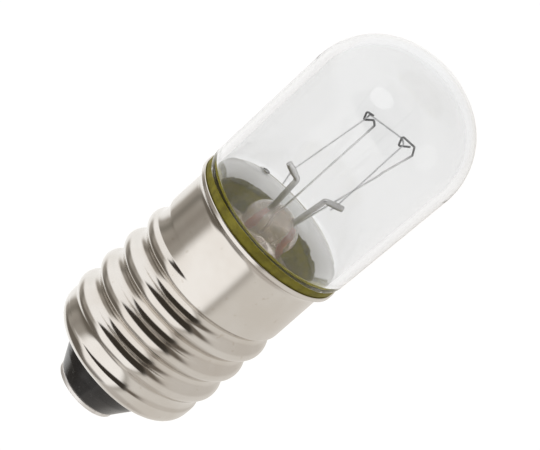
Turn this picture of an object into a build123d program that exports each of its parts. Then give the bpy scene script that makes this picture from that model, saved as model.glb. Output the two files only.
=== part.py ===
from build123d import *
import math
import os

# Clear indicator lamp with a rolled screw base, standing on its centre contact with the glass up.
# Millimetres. The Z axis is the lamp's own axis, and the origin is the lowest point of the contact.
# Heights named "above" or "below" are counted from the top of the shell's rim.

# Whole lamp
overall_length = 28.0

# Screw shell: one drawn sheet, with the thread rolled into it and the mouth flared for the bulb
shell_wall = 0.28
shell_length = 12.08
shell_corner = 1.1
skirt_under_crest = 0.17
rim_over_skirt = 0.36
rim_land = 0.11
rim_edge = 0.25
flare_height = 0.85

# Round thread of the base, right-handed, with equal arcs at crest and root; the crest sets the other radii
thread_pitch = 1.814
thread_crest_radius = 4.72
thread_depth = 0.51
crest_land = 0.1
crest_flat = 0.01
groove_overcut = 0.25
thread_below = 4.3
thread_fade_high = 1.0
thread_fade_low = 0.8
crest_fade_high = 2.4
crest_fade_low = 1.1
crest_trim = 0.3
crest_margin = 0.07
thread_crest_below = 7.16

# Moulded insulator in the closed end of the shell
insulator_throat_radius = 3.05
insulator_tip_radius = 2.0
insulator_tip_length = 2.16
insulator_edge = 0.15

# Centre contact: a plate with a hollow rivet, closed by a dome of solder
contact_radius = 1.95
contact_plate = 0.28
rivet_radius = 0.62
rivet_wall = 0.16
rivet_length = 1.3
solder_radius = 1.6
solder_dome = 0.53
solder_plug = 0.6

# Glass bulb: blown tube with a domed end, drawn in to a neck that stands inside the shell
bulb_radius = 5.1
bulb_wall = 0.55
foot_over_rim = 0.02
crown_radius = 6.2
crown_corner = 4.3
neck_gap = 0.47
neck_below = 2.2
mouth_gap = 0.41
shoulder_below = 0.85

# Glass stem: flare sealed into the neck, flattened press round the wires, sealed exhaust tube
flare_lip = 0.35
flare_wall = 0.42
flare_slope = 0.25
waist_radius = 1.5
waist_below = 0.6
press_radius = 1.62
press_widest_above = 0.06
press_above = 1.32
press_thickness = 2.3
hollow_below = 1.3
hollow_radius = 1.32
exhaust_radius = 0.6
exhaust_bore = 0.3
exhaust_below = 5.85
vent_radius = 0.2

# Cement that holds the bulb in the shell
cement_below = 2.95
cement_core_rise = 0.35
bead_above = 0.4
bead_bulge = 0.05

# Wires
inner_lead_diameter = 0.33
seal_wire_diameter = 0.3
outer_lead_diameter = 0.15
support_diameter = 0.12
filament_diameter = 0.1
lead_bend = 0.2
outer_lead_bend = 0.35
support_bend = 0.09
filament_bend = 0.1

# Wire mount: X runs along the press, the leads stand before its middle plane and the supports behind
lead_offset = -0.25
support_offset = 0.1
filament_front = -0.08
filament_back = 0.28
seal_above = 0.85
seal_below = 1.15
left_seal_x = -0.93
right_seal_low_x = 1.09
right_seal_high_x = 0.7
straight_run = 0.4

left_knee = (-1.15, 3.22)
left_hook_end = (-2.14, 3.63)
left_clamp_share = 0.6
right_knee = (0.86, 3.27)
right_hook_end = (1.91, 3.53)
right_clamp_share = 0.62

left_support_foot = (-0.29, -0.5)
left_support_loop = ((-0.38, 8.16), (-0.64, 8.39), (-1.05, 8.02), (-1.28, 8.51), (-0.84, 8.56))
right_support_foot = (0.59, -0.65)
right_support_loop = ((2.38, 8.22), (2.08, 8.69), (1.14, 8.73), (1.40, 8.15), (1.92, 8.54))
left_filament_top = (-1.02, 8.33)
right_filament_top = (1.48, 8.47)
filament_step = 0.14
left_tail = (0.25, -0.98)
right_tail = (-0.06, -0.4)

# Outer leads inside the base
side_lead_angle = 100.0
side_lead_below = 2.6
side_lead_rise = 0.95
side_lead_throat = 0.3
side_lead_end = 0.2
side_lead_share = 0.56
centre_lead_drop = 7.0
centre_lead_join = 9.6
side_solder_radius = 0.36

# Derived heights and radii
shell_bottom = solder_dome + contact_plate + insulator_tip_length
rim_top = shell_bottom + shell_length
insulator_tip = solder_dome + contact_plate
thread_root_radius = thread_crest_radius - thread_depth
skirt_radius = thread_crest_radius - skirt_under_crest
skirt_bore = skirt_radius - shell_wall
rim_radius = skirt_radius + rim_over_skirt
rim_mouth_radius = rim_radius - rim_land
flare_start = rim_top - flare_height
bulb_foot_radius = rim_radius + foot_over_rim
neck_lip = rim_top - neck_below
neck_radius = skirt_bore - neck_gap
neck_bore = neck_radius - bulb_wall
throat_radius = rim_mouth_radius - mouth_gap
shoulder_low = rim_top - shoulder_below
thread_high = rim_top - thread_below
thread_low = shell_bottom + shell_corner
crest_height = rim_top - thread_crest_below
hollow_top = rim_top - hollow_below
exhaust_tip = rim_top - exhaust_below
press_top = rim_top + press_above


def revolved(*edges):
    """Solid of revolution about Z of a closed outline drawn with x as radius and y as height."""
    return revolve(Plane.XZ * make_face(edges), Axis.Z)


def standing_cylinder(radius, low, high):
    """Plain cylinder on the Z axis between two heights."""
    return Pos(0, 0, low) * Cylinder(radius, high - low, align=(Align.CENTER, Align.CENTER, Align.MIN))


def at(height_point, offset):
    """Point of the mount: (x, height above the rim) set at a distance along Y."""
    x, above = height_point
    return (x, offset, rim_top + above)


def between(first, last, share):
    """Point on the straight line between two points."""
    return tuple(a + share * (b - a) for a, b in zip(first, last))


def round_wire(points, diameter, bend):
    """Round wire along straight runs joined by bends of one radius."""
    path = FilletPolyline(*points, radius=bend) if len(points) > 2 else Line(*points)
    section = Plane(origin=path @ 0, z_dir=path % 0) * Circle(diameter / 2)
    return sweep(section, path=path)


# Screw shell

def thread_groove(inset, low, high):
    """Groove of the thread between two heights: arcs from crest to root and back, swept along a helix.

    The arcs start a little outside the crest, which leaves the crest a narrow flat.
    """
    root = thread_root_radius - inset
    crest = thread_crest_radius - inset + crest_flat
    middle = (root + crest) / 2
    half = (thread_pitch - crest_land) / 2
    over = crest + groove_overcut
    pitches_down = math.ceil((crest_height + thread_pitch - low) / thread_pitch)
    start = crest_height + thread_pitch * (0.5 - pitches_down)
    turns = math.ceil((high - start) / thread_pitch + 0.5)
    lower_arc = TangentArc((crest, start - half), (middle, start - half / 2), tangent=(0, 1))
    root_arc = ThreePointArc((middle, start - half / 2), (root, start), (middle, start + half / 2))
    upper_arc = TangentArc((crest, start + half), (middle, start + half / 2), tangent=(0, -1))
    closing = Polyline(
        (crest, start + half), (over, start + half), (over, start - half), (crest, start - half))
    section = Plane.XZ * make_face([lower_arc, root_arc, upper_arc, closing])
    path = Pos(0, 0, start) * Helix(thread_pitch, thread_pitch * turns, root)
    return sweep(section, path=path, is_frenet=True)


def thread_body(inset):
    """Threaded core: a grooved cylinder, trimmed to grow out of the closed end and sink into the skirt."""
    low = thread_low - crest_fade_low / 2
    high = thread_high + crest_fade_high
    grooved = standing_cylinder(thread_crest_radius - inset, low, high) - thread_groove(inset, low, high)
    inner = thread_root_radius - inset
    outer = thread_crest_radius - inset + crest_margin
    envelope = revolved(Polyline(
        (0, low), (inner, low), (outer, low + crest_fade_low), (outer, thread_high - crest_trim),
        (inner, high), (0, high), close=True))
    return grooved & envelope


def shell_body(inset, top):
    """Solid outline of the shell, drawn in by the inset: 0 for the outside, one wall for the hollow."""
    radius = skirt_radius - inset
    bottom = shell_bottom + inset
    corner = shell_corner - inset
    core = thread_root_radius - inset - shell_wall
    mouth = rim_radius if inset == 0 else rim_mouth_radius
    flare_top = rim_top - rim_edge if inset == 0 else rim_top
    flare = TangentArc((radius, flare_start), (mouth, flare_top), tangent=(0, 1))
    rounding = TangentArc((radius - corner, bottom), (radius, bottom + corner), tangent=(1, 0))
    wall = Polyline(
        (radius, thread_low), (core, thread_low + thread_fade_low), (core, thread_high),
        (radius, thread_high + thread_fade_high), (radius, flare_start))
    closing = Polyline((mouth, flare_top), (mouth, top), (0, top), (0, bottom), (radius - corner, bottom))
    return revolved(rounding, wall, flare, closing) + thread_body(inset)


def shell_hollow():
    """Room inside the shell, up through its open mouth."""
    return shell_body(shell_wall, rim_top + rim_edge)


def shell_mouth():
    """Flared ring at the top of the shell by itself, for the pieces that lie against it."""
    outside = TangentArc((skirt_radius, flare_start), (rim_radius, rim_top - rim_edge), tangent=(0, 1))
    inside = TangentArc((skirt_bore, flare_start), (rim_mouth_radius, rim_top), tangent=(0, 1))
    rim = Polyline((rim_radius, rim_top - rim_edge), (rim_radius, rim_top), (rim_mouth_radius, rim_top))
    return revolved(outside, rim, inside, Line((skirt_bore, flare_start), (skirt_radius, flare_start)))


def insulator_cone():
    """Tapered foot of the insulator, from its lower face to the inside of the shell's closed end."""
    slope = (insulator_throat_radius - insulator_tip_radius) / insulator_tip_length
    seat = shell_bottom + shell_wall
    seat_radius = insulator_throat_radius + slope * shell_wall
    return revolved(Polyline(
        (0, insulator_tip), (insulator_tip_radius, insulator_tip), (seat_radius, seat), (0, seat),
        close=True))


def make_shell():
    """Rolled sheet shell, open at the flared mouth and bored for the insulator at the closed end."""
    return shell_body(0, rim_top) - shell_hollow() - insulator_cone()


# Insulator and centre contact

def make_insulator():
    """Moulded insulator: a collar that fills the shell's closed end and a tapered foot below it."""
    seat = shell_bottom + shell_wall
    corner = shell_corner - shell_wall
    rounding = TangentArc((skirt_bore - corner, seat), (skirt_bore, thread_low), tangent=(1, 0))
    rest = Polyline((skirt_bore, thread_low), (0, thread_low), (0, seat), (skirt_bore - corner, seat))
    body = insulator_cone() + revolved(rounding, rest)
    body = fillet(body.edges().group_by(Axis.Z)[0], insulator_edge)
    return body - standing_cylinder(rivet_radius, insulator_tip, thread_low)


def make_contact():
    """Contact plate under the insulator, with a hollow rivet that stands up into its bore."""
    bore_radius = rivet_radius - rivet_wall
    low = solder_dome
    rivet_top = insulator_tip + rivet_length
    return revolved(Polyline(
        (bore_radius, low), (contact_radius, low), (contact_radius, insulator_tip),
        (rivet_radius, insulator_tip), (rivet_radius, rivet_top), (bore_radius, rivet_top), close=True))


def make_centre_solder(centre_lead):
    """Dome of solder under the contact plate, with a plug that runs up round the lead in the rivet."""
    plug_radius = rivet_radius - rivet_wall
    dome = TangentArc((0, 0), (solder_radius, solder_dome), tangent=(1, 0))
    rest = Polyline(
        (solder_radius, solder_dome), (plug_radius, solder_dome), (plug_radius, solder_dome + solder_plug),
        (0, solder_dome + solder_plug), (0, 0))
    return revolved(dome, rest) - centre_lead


# Glass

def upright_arc_radius(start, end, height):
    """Radius, at a height, of the arc that leaves its start upright and passes through its end."""
    reach = end[0] - start[0]
    rise = end[1] - start[1]
    bend = (reach ** 2 + rise ** 2) / (2 * reach)
    return start[0] + bend - math.sqrt(bend ** 2 - (height - start[1]) ** 2)


def shoulder_top():
    """Height where the shoulder ends: its upper arc is the lower one's shape, scaled to the width left."""
    return rim_top + shoulder_below * (bulb_foot_radius - throat_radius) / (throat_radius - neck_radius)


def shoulder_curves(inset):
    """S of two tangent arcs, upright at both ends, that crosses the rim's level a gap inside the mouth."""
    turn = 2 * math.atan2(throat_radius - neck_radius, shoulder_below)
    crossing = (throat_radius - inset * math.cos(turn), rim_top + inset * math.sin(turn))
    lower = TangentArc((neck_radius - inset, shoulder_low), crossing, tangent=(0, 1))
    upper = TangentArc((bulb_foot_radius - inset, shoulder_top()), crossing, tangent=(0, -1))
    return lower, upper


def bulb_outline(inset, low):
    """Closed solid of the bulb's outer form, or of its hollow when drawn in by the wall."""
    neck = neck_radius - inset
    side = bulb_radius - inset
    crown = crown_radius - inset
    corner = crown_corner - inset
    crown_centre = overall_length - crown_radius
    corner_x = side - corner
    corner_z = crown_centre + math.sqrt((crown - corner) ** 2 - corner_x ** 2)
    slope = math.atan2(corner_z - crown_centre, corner_x)
    meeting = (crown * math.cos(slope), crown_centre + crown * math.sin(slope))
    tube = Line((bulb_foot_radius - inset, shoulder_top()), (side, corner_z))
    corner_arc = ThreePointArc(
        (side, corner_z),
        (corner_x + corner * math.cos(slope / 2), corner_z + corner * math.sin(slope / 2)), meeting)
    half = (slope + math.pi / 2) / 2
    top = (0, crown_centre + crown)
    crown_arc = ThreePointArc(
        meeting, (crown * math.cos(half), crown_centre + crown * math.sin(half)), top)
    closing = Polyline(top, (0, low), (neck, low), (neck, shoulder_low))
    return revolved(*shoulder_curves(inset), tube, corner_arc, crown_arc, closing)


def make_bulb():
    """Blown glass bulb, open at the lower end of its neck."""
    return bulb_outline(0, neck_lip) - bulb_outline(bulb_wall, neck_lip - bulb_wall)


def make_stem(wires):
    """Glass stem: flare, press flattened round the wires, and exhaust tube with its tip and vent."""
    lip_top = neck_lip + flare_lip
    waist = rim_top - waist_below
    flare_top = Spline((neck_bore, lip_top), (waist_radius, waist), tangents=((-1, flare_slope), (0, 1)))
    bead = Spline(
        (waist_radius, waist), (press_radius, rim_top + press_widest_above), (0, press_top),
        tangents=((0, 1), (-1, 0)))
    under = Spline(
        (hollow_radius, hollow_top), (neck_bore - flare_wall, neck_lip),
        tangents=((0, -1), (1, -flare_slope)))
    tip = TangentArc((0, exhaust_tip), (exhaust_radius, exhaust_tip + exhaust_radius), tangent=(1, 0))
    rest = [
        Line((0, press_top), (0, exhaust_tip)),
        Polyline((exhaust_radius, exhaust_tip + exhaust_radius), (exhaust_radius, hollow_top),
                 (hollow_radius, hollow_top)),
        Polyline((neck_bore - flare_wall, neck_lip), (neck_bore, neck_lip), (neck_bore, lip_top)),
    ]
    stem = revolved(flare_top, bead, under, tip, *rest)
    pressed = Pos(0, 0, waist) * Box(
        2 * neck_bore, press_thickness, 2 * (press_top - waist),
        align=(Align.CENTER, Align.CENTER, Align.MIN))
    below = split(stem, Plane.XY.offset(waist), keep=Keep.BOTTOM)
    above = split(stem, Plane.XY.offset(waist), keep=Keep.TOP) & pressed
    stem = below + above
    bore_low = exhaust_tip + 2 * exhaust_bore
    bore_top = hollow_top + 2 * exhaust_bore
    bore = standing_cylinder(exhaust_bore, bore_low, bore_top)
    vent = Pos(0, 0, bore_top - vent_radius) * Rot(-90, 0, 0) * Cylinder(
        vent_radius, neck_bore, align=(Align.CENTER, Align.CENTER, Align.MIN))
    stem = stem - bore - vent
    for wire in wires:
        stem = stem - wire
    return stem


# Wires

def left_hook():
    """Centre line of the left inner lead, from its seal up to the hooked end."""
    start = (left_seal_x, seal_above)
    run = (left_seal_x, seal_above + straight_run)
    return [at(point, lead_offset) for point in (start, run, left_knee, left_hook_end)]


def right_hook():
    """Centre line of the right inner lead, which leaves its seal on a slant."""
    low, high = right_seal()
    start = high
    run = between(low, high, 1 + straight_run / (seal_above + seal_below))
    return [start, run, at(right_knee, lead_offset), at(right_hook_end, lead_offset)]


def left_seal():
    """Ends of the left seal wire in the press."""
    return [at((left_seal_x, -seal_below), lead_offset), at((left_seal_x, seal_above), lead_offset)]


def right_seal():
    """Ends of the right seal wire in the press."""
    low = at((right_seal_low_x, -seal_below), lead_offset)
    high = at((right_seal_high_x, seal_above), lead_offset)
    return [low, high]


def side_lead_path():
    """Centre line of the outer lead that runs under the neck and up between glass and shell to the rim."""
    start = left_seal()[0]
    turn = Vector(1, 0, 0).rotate(Axis.Z, side_lead_angle)
    gap = turn * ((neck_radius + skirt_bore) / 2)
    low = rim_top - side_lead_below
    height = rim_top - side_lead_throat
    glass = upright_arc_radius((neck_radius, shoulder_low), (throat_radius, rim_top), height)
    shell = upright_arc_radius((skirt_bore, flare_start), (rim_mouth_radius, rim_top), height)
    throat = turn * (glass + side_lead_share * (shell - glass)) + Vector(0, 0, height)
    mouth = turn * (throat_radius + side_lead_share * mouth_gap) + Vector(0, 0, rim_top)
    end = mouth + (mouth - throat) * (side_lead_end / side_lead_throat)
    return [
        start, (start[0], start[1], low), (gap.X, gap.Y, low), (gap.X, gap.Y, rim_top - side_lead_rise),
        tuple(throat), tuple(end)]


def centre_lead_path():
    """Centre line of the outer lead that runs past the exhaust tube to the rivet on the axis."""
    low, high = right_seal()
    run = between(low, high, -straight_run / (seal_above + seal_below))
    return [
        low, run, (run[0], run[1], rim_top - centre_lead_drop), (0, 0, rim_top - centre_lead_join),
        (0, 0, solder_dome / 2)]


def make_support(foot, loop):
    """Support wire: a straight leg from the press with its end turned into an open loop."""
    points = [at(point, support_offset) for point in (foot, *loop)]
    return round_wire(points, support_diameter, support_bend)


def filament_path():
    """Centre line of the filament: tail, clamp, up through one loop, across, down and to its other tail."""
    left_clamp = between(at(left_knee, lead_offset), at(left_hook_end, lead_offset), left_clamp_share)
    right_clamp = between(at(right_knee, lead_offset), at(right_hook_end, lead_offset), right_clamp_share)
    left_x, left_height = left_filament_top
    right_x, right_height = right_filament_top
    return [
        tuple(Vector(left_clamp) + Vector(left_tail[0], 0, left_tail[1])),
        left_clamp,
        at((left_x - filament_step / 2, left_height), filament_front),
        at((left_x + filament_step / 2, left_height + filament_step / 2), filament_back),
        at((right_x - filament_step, right_height + filament_step / 2), filament_back),
        at((right_x, right_height), filament_front),
        right_clamp,
        tuple(Vector(right_clamp) + Vector(right_tail[0], 0, right_tail[1])),
    ]


# Cement and side solder

def make_cement(others):
    """Cement round the neck and under the flare, with a bead that stands proud of the rim."""
    low = rim_top - cement_below
    bead_top = rim_top + bead_above
    flare = TangentArc((skirt_bore, flare_start), (rim_mouth_radius, rim_top), tangent=(0, 1))
    bead = ThreePointArc(
        (rim_mouth_radius, rim_top), (rim_mouth_radius + bead_bulge, rim_top + bead_above / 2),
        (throat_radius, bead_top))
    rest = Polyline(
        (throat_radius, bead_top), (0, bead_top), (0, low), (skirt_bore, low), (skirt_bore, flare_start))
    cement = revolved(flare, bead, rest) - bulb_outline(0, neck_lip)
    cement = cement + standing_cylinder(neck_bore - flare_wall, low, neck_lip + cement_core_rise)
    cement = cement - standing_cylinder(exhaust_radius, exhaust_tip, hollow_top)
    for piece in others:
        cement = cement - piece
    return cement


def solder_ball():
    """Full round of the side solder, set on the rim where the side lead comes out."""
    turn = Vector(1, 0, 0).rotate(Axis.Z, side_lead_angle)
    return Pos(turn * rim_mouth_radius + Vector(0, 0, rim_top)) * Sphere(side_solder_radius)


def make_side_solder(others):
    """Drop of solder that joins the side lead to the rim."""
    drop = solder_ball()
    for piece in others:
        drop = drop - piece
    return drop


# Assembly

screw_shell = make_shell()
base_insulator = make_insulator()
centre_contact = make_contact()
glass_bulb = make_bulb()

filament = round_wire(filament_path(), filament_diameter, filament_bend)
inner_lead_left = round_wire(left_hook(), inner_lead_diameter, lead_bend) - filament
inner_lead_right = round_wire(right_hook(), inner_lead_diameter, lead_bend) - filament
seal_wire_left = round_wire(left_seal(), seal_wire_diameter, lead_bend)
seal_wire_right = round_wire(right_seal(), seal_wire_diameter, lead_bend)
side_lead = round_wire(side_lead_path(), outer_lead_diameter, outer_lead_bend)
centre_lead = round_wire(centre_lead_path(), outer_lead_diameter, outer_lead_bend)
support_left = make_support(left_support_foot, left_support_loop)
support_right = make_support(right_support_foot, right_support_loop)

stem_wires = [
    round_wire(left_hook(), inner_lead_diameter, lead_bend),
    round_wire(right_hook(), inner_lead_diameter, lead_bend),
    seal_wire_left, seal_wire_right, side_lead, centre_lead, support_left, support_right]
glass_stem = make_stem(stem_wires)
centre_solder = make_centre_solder(centre_lead)
side_solder = make_side_solder([shell_mouth(), glass_bulb, side_lead])
base_cement = make_cement([glass_stem, solder_ball(), side_lead, centre_lead])

nodes = {
    "screw_shell": screw_shell,
    "base_insulator": base_insulator,
    "centre_contact": centre_contact,
    "centre_solder": centre_solder,
    "side_solder": side_solder,
    "base_cement": base_cement,
    "glass_bulb": glass_bulb,
    "glass_stem": glass_stem,
    "inner_lead_left": inner_lead_left,
    "inner_lead_right": inner_lead_right,
    "seal_wire_left": seal_wire_left,
    "seal_wire_right": seal_wire_right,
    "side_lead": side_lead,
    "centre_lead": centre_lead,
    "support_left": support_left,
    "support_right": support_right,
    "filament": filament,
}

os.makedirs("parts", exist_ok=True)
for name, solid in nodes.items():
    export_step(solid, f"parts/{name}.step")
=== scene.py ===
import logging
import math
from abc import ABC, abstractmethod
from dataclasses import dataclass, field
from enum import Enum
from typing import Any, Sequence

import bmesh
import bpy
import numpy as np
from mathutils import Matrix, Vector


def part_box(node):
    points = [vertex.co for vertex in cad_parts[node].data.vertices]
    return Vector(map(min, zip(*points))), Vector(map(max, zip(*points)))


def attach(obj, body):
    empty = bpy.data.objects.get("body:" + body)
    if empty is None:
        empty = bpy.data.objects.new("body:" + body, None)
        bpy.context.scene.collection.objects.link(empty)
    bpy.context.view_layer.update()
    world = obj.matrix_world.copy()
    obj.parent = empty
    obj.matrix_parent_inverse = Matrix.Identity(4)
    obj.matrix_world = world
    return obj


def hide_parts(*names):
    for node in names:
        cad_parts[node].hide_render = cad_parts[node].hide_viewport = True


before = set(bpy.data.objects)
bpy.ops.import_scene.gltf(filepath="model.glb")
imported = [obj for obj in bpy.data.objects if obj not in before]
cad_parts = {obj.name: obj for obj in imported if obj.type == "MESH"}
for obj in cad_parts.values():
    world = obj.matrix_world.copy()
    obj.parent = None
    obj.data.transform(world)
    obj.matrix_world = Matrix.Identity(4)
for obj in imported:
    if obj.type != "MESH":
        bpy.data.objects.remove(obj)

log = logging.getLogger("indicator_bulb")

MM = 0.001
FULL_TURN = 2 * math.pi
MERGE_DISTANCE = 2e-8
BODY = "root"

Colour = tuple[float, float, float]
Point = tuple[float, ...]


class Wrap(Enum):
    """How the edges of a grid of points are joined."""

    AROUND = (False, True)
    BOTH = (True, True)


class Effect(Enum):
    """Surface effects that several finishes share, each one a shader node group."""

    GRAIN = "fine_grain"
    RINGS = "drawn_rings"
    MARKS = "handling_marks"


# Curves and grids


def circle(count: int) -> np.ndarray:
    """Equal angles round a full turn, the first not repeated."""
    return np.linspace(0, FULL_TURN, count, endpoint=False)


def around_axis(radius: np.ndarray, angle: np.ndarray, height: np.ndarray) -> np.ndarray:
    """Points (r cos a, r sin a, z), from arrays that broadcast together."""
    return np.stack(np.broadcast_arrays(radius * np.cos(angle), radius * np.sin(angle), height), axis=-1)


def run_lengths(path: np.ndarray) -> np.ndarray:
    """Distance along a path at each of its points: the running sum of the lengths of its runs."""
    return np.concatenate([[0.0], np.cumsum(np.linalg.norm(np.diff(path, axis=0), axis=1))])


def spaced(path: np.ndarray, step: float) -> np.ndarray:
    """Divides the runs of a path so that none is longer than a step.

    Each run of length L becomes ceil(L / step) equal pieces.

    Args:
        path: Points in order, one a row.
        step: Longest run to leave.

    Returns:
        The path with the added points.
    """
    runs = np.diff(path, axis=0)
    counts = np.maximum(np.ceil(np.linalg.norm(runs, axis=1) / step), 1).astype(int)
    first = np.repeat(np.cumsum(counts) - counts, counts)
    along = (np.arange(counts.sum()) - first)[:, None]
    points = np.repeat(path[:-1], counts, axis=0) + along * np.repeat(runs / counts[:, None], counts, axis=0)
    return np.vstack([points, path[-1:]])


def rounded_path(corners: Sequence[Point], radii: float | Sequence[float], step: float,
                 arc_step: float = 0.03) -> np.ndarray:
    """Straight runs joined by tangent arcs.

    At a corner that turns by t the arc of radius R starts R tan(t / 2) before it, and its points are
    start + R sin(a) along the first run + R (1 - cos(a)) towards the inside, for a from 0 to t.

    Args:
        corners: Corner points, ends included.
        radii: One radius, or one for each inner corner; 0 leaves a corner sharp.
        step: Longest run between points.
        arc_step: Longest run on an arc.

    Returns:
        Points along the path.
    """
    corners = np.asarray(corners, float)
    runs = np.diff(corners, axis=0)
    units = runs / np.linalg.norm(runs, axis=1, keepdims=True)
    pieces = [corners[:1]]
    for corner, before, after, radius in zip(
            corners[1:-1], units[:-1], units[1:], np.broadcast_to(radii, len(corners) - 2)):
        turn = math.acos(float(np.clip(before @ after, -1, 1)))
        if radius == 0 or turn < 1e-6:
            pieces.append(corner[None])
            continue
        inside = (after - before * math.cos(turn)) / math.sin(turn)
        angle = np.linspace(0, turn, max(4, math.ceil(radius * turn / arc_step) + 1))[:, None]
        start = corner - before * radius * math.tan(turn / 2)
        pieces.append(start + radius * (np.sin(angle) * before + (1 - np.cos(angle)) * inside))
    pieces.append(corners[-1:])
    return spaced(np.concatenate(pieces), step)


def rounded_ring(corners: Sequence[Point], radii: float | Sequence[float], step: float) -> np.ndarray:
    """Closed outline with rounded corners, started half way along its last run.

    Args:
        corners: Corner points in order.
        radii: One radius, or one for each corner.
        step: Longest run between points.

    Returns:
        Points round the outline, the first not repeated.
    """
    middle = tuple((np.asarray(corners[0], float) + np.asarray(corners[-1], float)) / 2)
    return rounded_path([middle, *corners, middle], radii, step)[:-1]


def arc(centre: Point, radius: float, start: float, end: float, step: float) -> np.ndarray:
    """Points of a circular arc: centre + radius (cos a, sin a) for a between two angles.

    Args:
        centre: Centre as (radius, height).
        radius: Radius of the arc.
        start: First angle in radians.
        end: Last angle in radians.
        step: Longest run between points.

    Returns:
        Points along the arc.
    """
    count = max(3, math.ceil(abs(end - start) * radius / step) + 1)
    angle = np.linspace(start, end, count)
    return np.stack([centre[0] + radius * np.cos(angle), centre[1] + radius * np.sin(angle)], axis=1)


def turned(profile: np.ndarray, columns: int) -> np.ndarray:
    """Surface of revolution: (r, z) carried round the axis to (r cos a, r sin a, z).

    Args:
        profile: Radii and heights, one pair a row.
        columns: Points round the axis.

    Returns:
        Grid of points, one profile point a row.
    """
    return around_axis(profile[:, :1], circle(columns), profile[:, 1:])


def section_axes(path: np.ndarray, lean: np.ndarray) -> tuple[np.ndarray, np.ndarray]:
    """Two directions across a path at each of its points.

    With T the path's direction, N is the lean freed of its share along T, and B = T x N.

    Args:
        path: Centre line.
        lean: Direction, or one a path point, that N leans to.

    Returns:
        N and B, one a row.
    """
    along = np.gradient(path, axis=0)
    along /= np.linalg.norm(along, axis=1, keepdims=True)
    lean = np.broadcast_to(lean, path.shape)
    normal = lean - (lean * along).sum(1, keepdims=True) * along
    normal /= np.linalg.norm(normal, axis=1, keepdims=True)
    return normal, np.cross(along, normal)


def tube(path: np.ndarray, radius: np.ndarray | float, sides: int, lean: np.ndarray,
         wide: np.ndarray | float | None = None) -> np.ndarray:
    """Round or flattened wire: an ellipse carried along a path, closed by a point at each end.

    With N and B the directions across the path, the surface is path + radius cos(a) N + wide sin(a) B.

    Args:
        path: Centre line.
        radius: Half width along the lean, one value or one a path point.
        sides: Points round the wire.
        lean: Direction, or one a path point, that the section's first axis leans to.
        wide: Half width across the lean, where it isn't the radius.

    Returns:
        Grid of points, with a row of coincident points at each end.
    """
    normal, across = section_axes(path, lean)
    angle = circle(sides)[None, :, None]
    thick, wide = (
        np.broadcast_to(half, len(path))[:, None, None]
        for half in (radius, radius if wide is None else wide))
    ring = path[:, None] + thick * np.cos(angle) * normal[:, None] + wide * np.sin(angle) * across[:, None]
    first, last = (np.broadcast_to(end, (1, sides, 3)) for end in (path[0], path[-1]))
    return np.concatenate([first, ring, last])


def soft_min(first: np.ndarray, second: np.ndarray, blend: float) -> np.ndarray:
    """The smaller of two heights, rounded where they cross: a h + b (1 - h) - k h (1 - h)."""
    share = np.clip(0.5 + 0.5 * (second - first) / blend, 0, 1)
    return first * share + second * (1 - share) - blend * share * (1 - share)


def eased(value: np.ndarray, start: float, end: float) -> np.ndarray:
    """Share of the way from start to end with eased ends: t^2 (3 - 2 t)."""
    share = np.clip((value - start) / (end - start), 0, 1)
    return share ** 2 * (3 - 2 * share)


@dataclass
class Patch:
    """One closed grid of points in millimetres.

    Attributes:
        points: Array of rows, columns and three coordinates.
        wrap: How the edges join.
        hollow: True where the grid bounds a void, so that its faces look inwards.
        marks: Optional value for each point, kept as the attribute "mark".
    """

    points: np.ndarray
    wrap: Wrap = Wrap.AROUND
    hollow: bool = False
    marks: np.ndarray | None = None

    def corners(self) -> tuple[np.ndarray, np.ndarray]:
        """Corner indices and texture coordinates of the quads, turned to face outwards.

        Returns:
            Point indices (quads, 4) and texture coordinates (quads, 4, 2).
        """
        rows, columns = self.points.shape[:2]
        wrap_rows, wrap_columns = self.wrap.value
        row, column = np.meshgrid(
            np.arange(rows if wrap_rows else rows - 1), np.arange(columns if wrap_columns else columns - 1),
            indexing="ij")
        steps = np.array([(0, 0), (1, 0), (1, 1), (0, 1)])
        row = row.ravel()[:, None] + steps[:, 0]
        column = column.ravel()[:, None] + steps[:, 1]
        quads = (row % rows) * columns + column % columns
        places = np.stack([column / columns, row / rows], axis=2)
        flat = self.points.reshape(-1, 3)
        a, b, c, d = (flat[quads[:, k]] for k in range(4))
        volume = (a * np.cross(b, c)).sum() + (a * np.cross(c, d)).sum()
        if (volume < 0) != self.hollow:
            quads, places = quads[:, ::-1], places[:, ::-1]
        return quads, places


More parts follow.
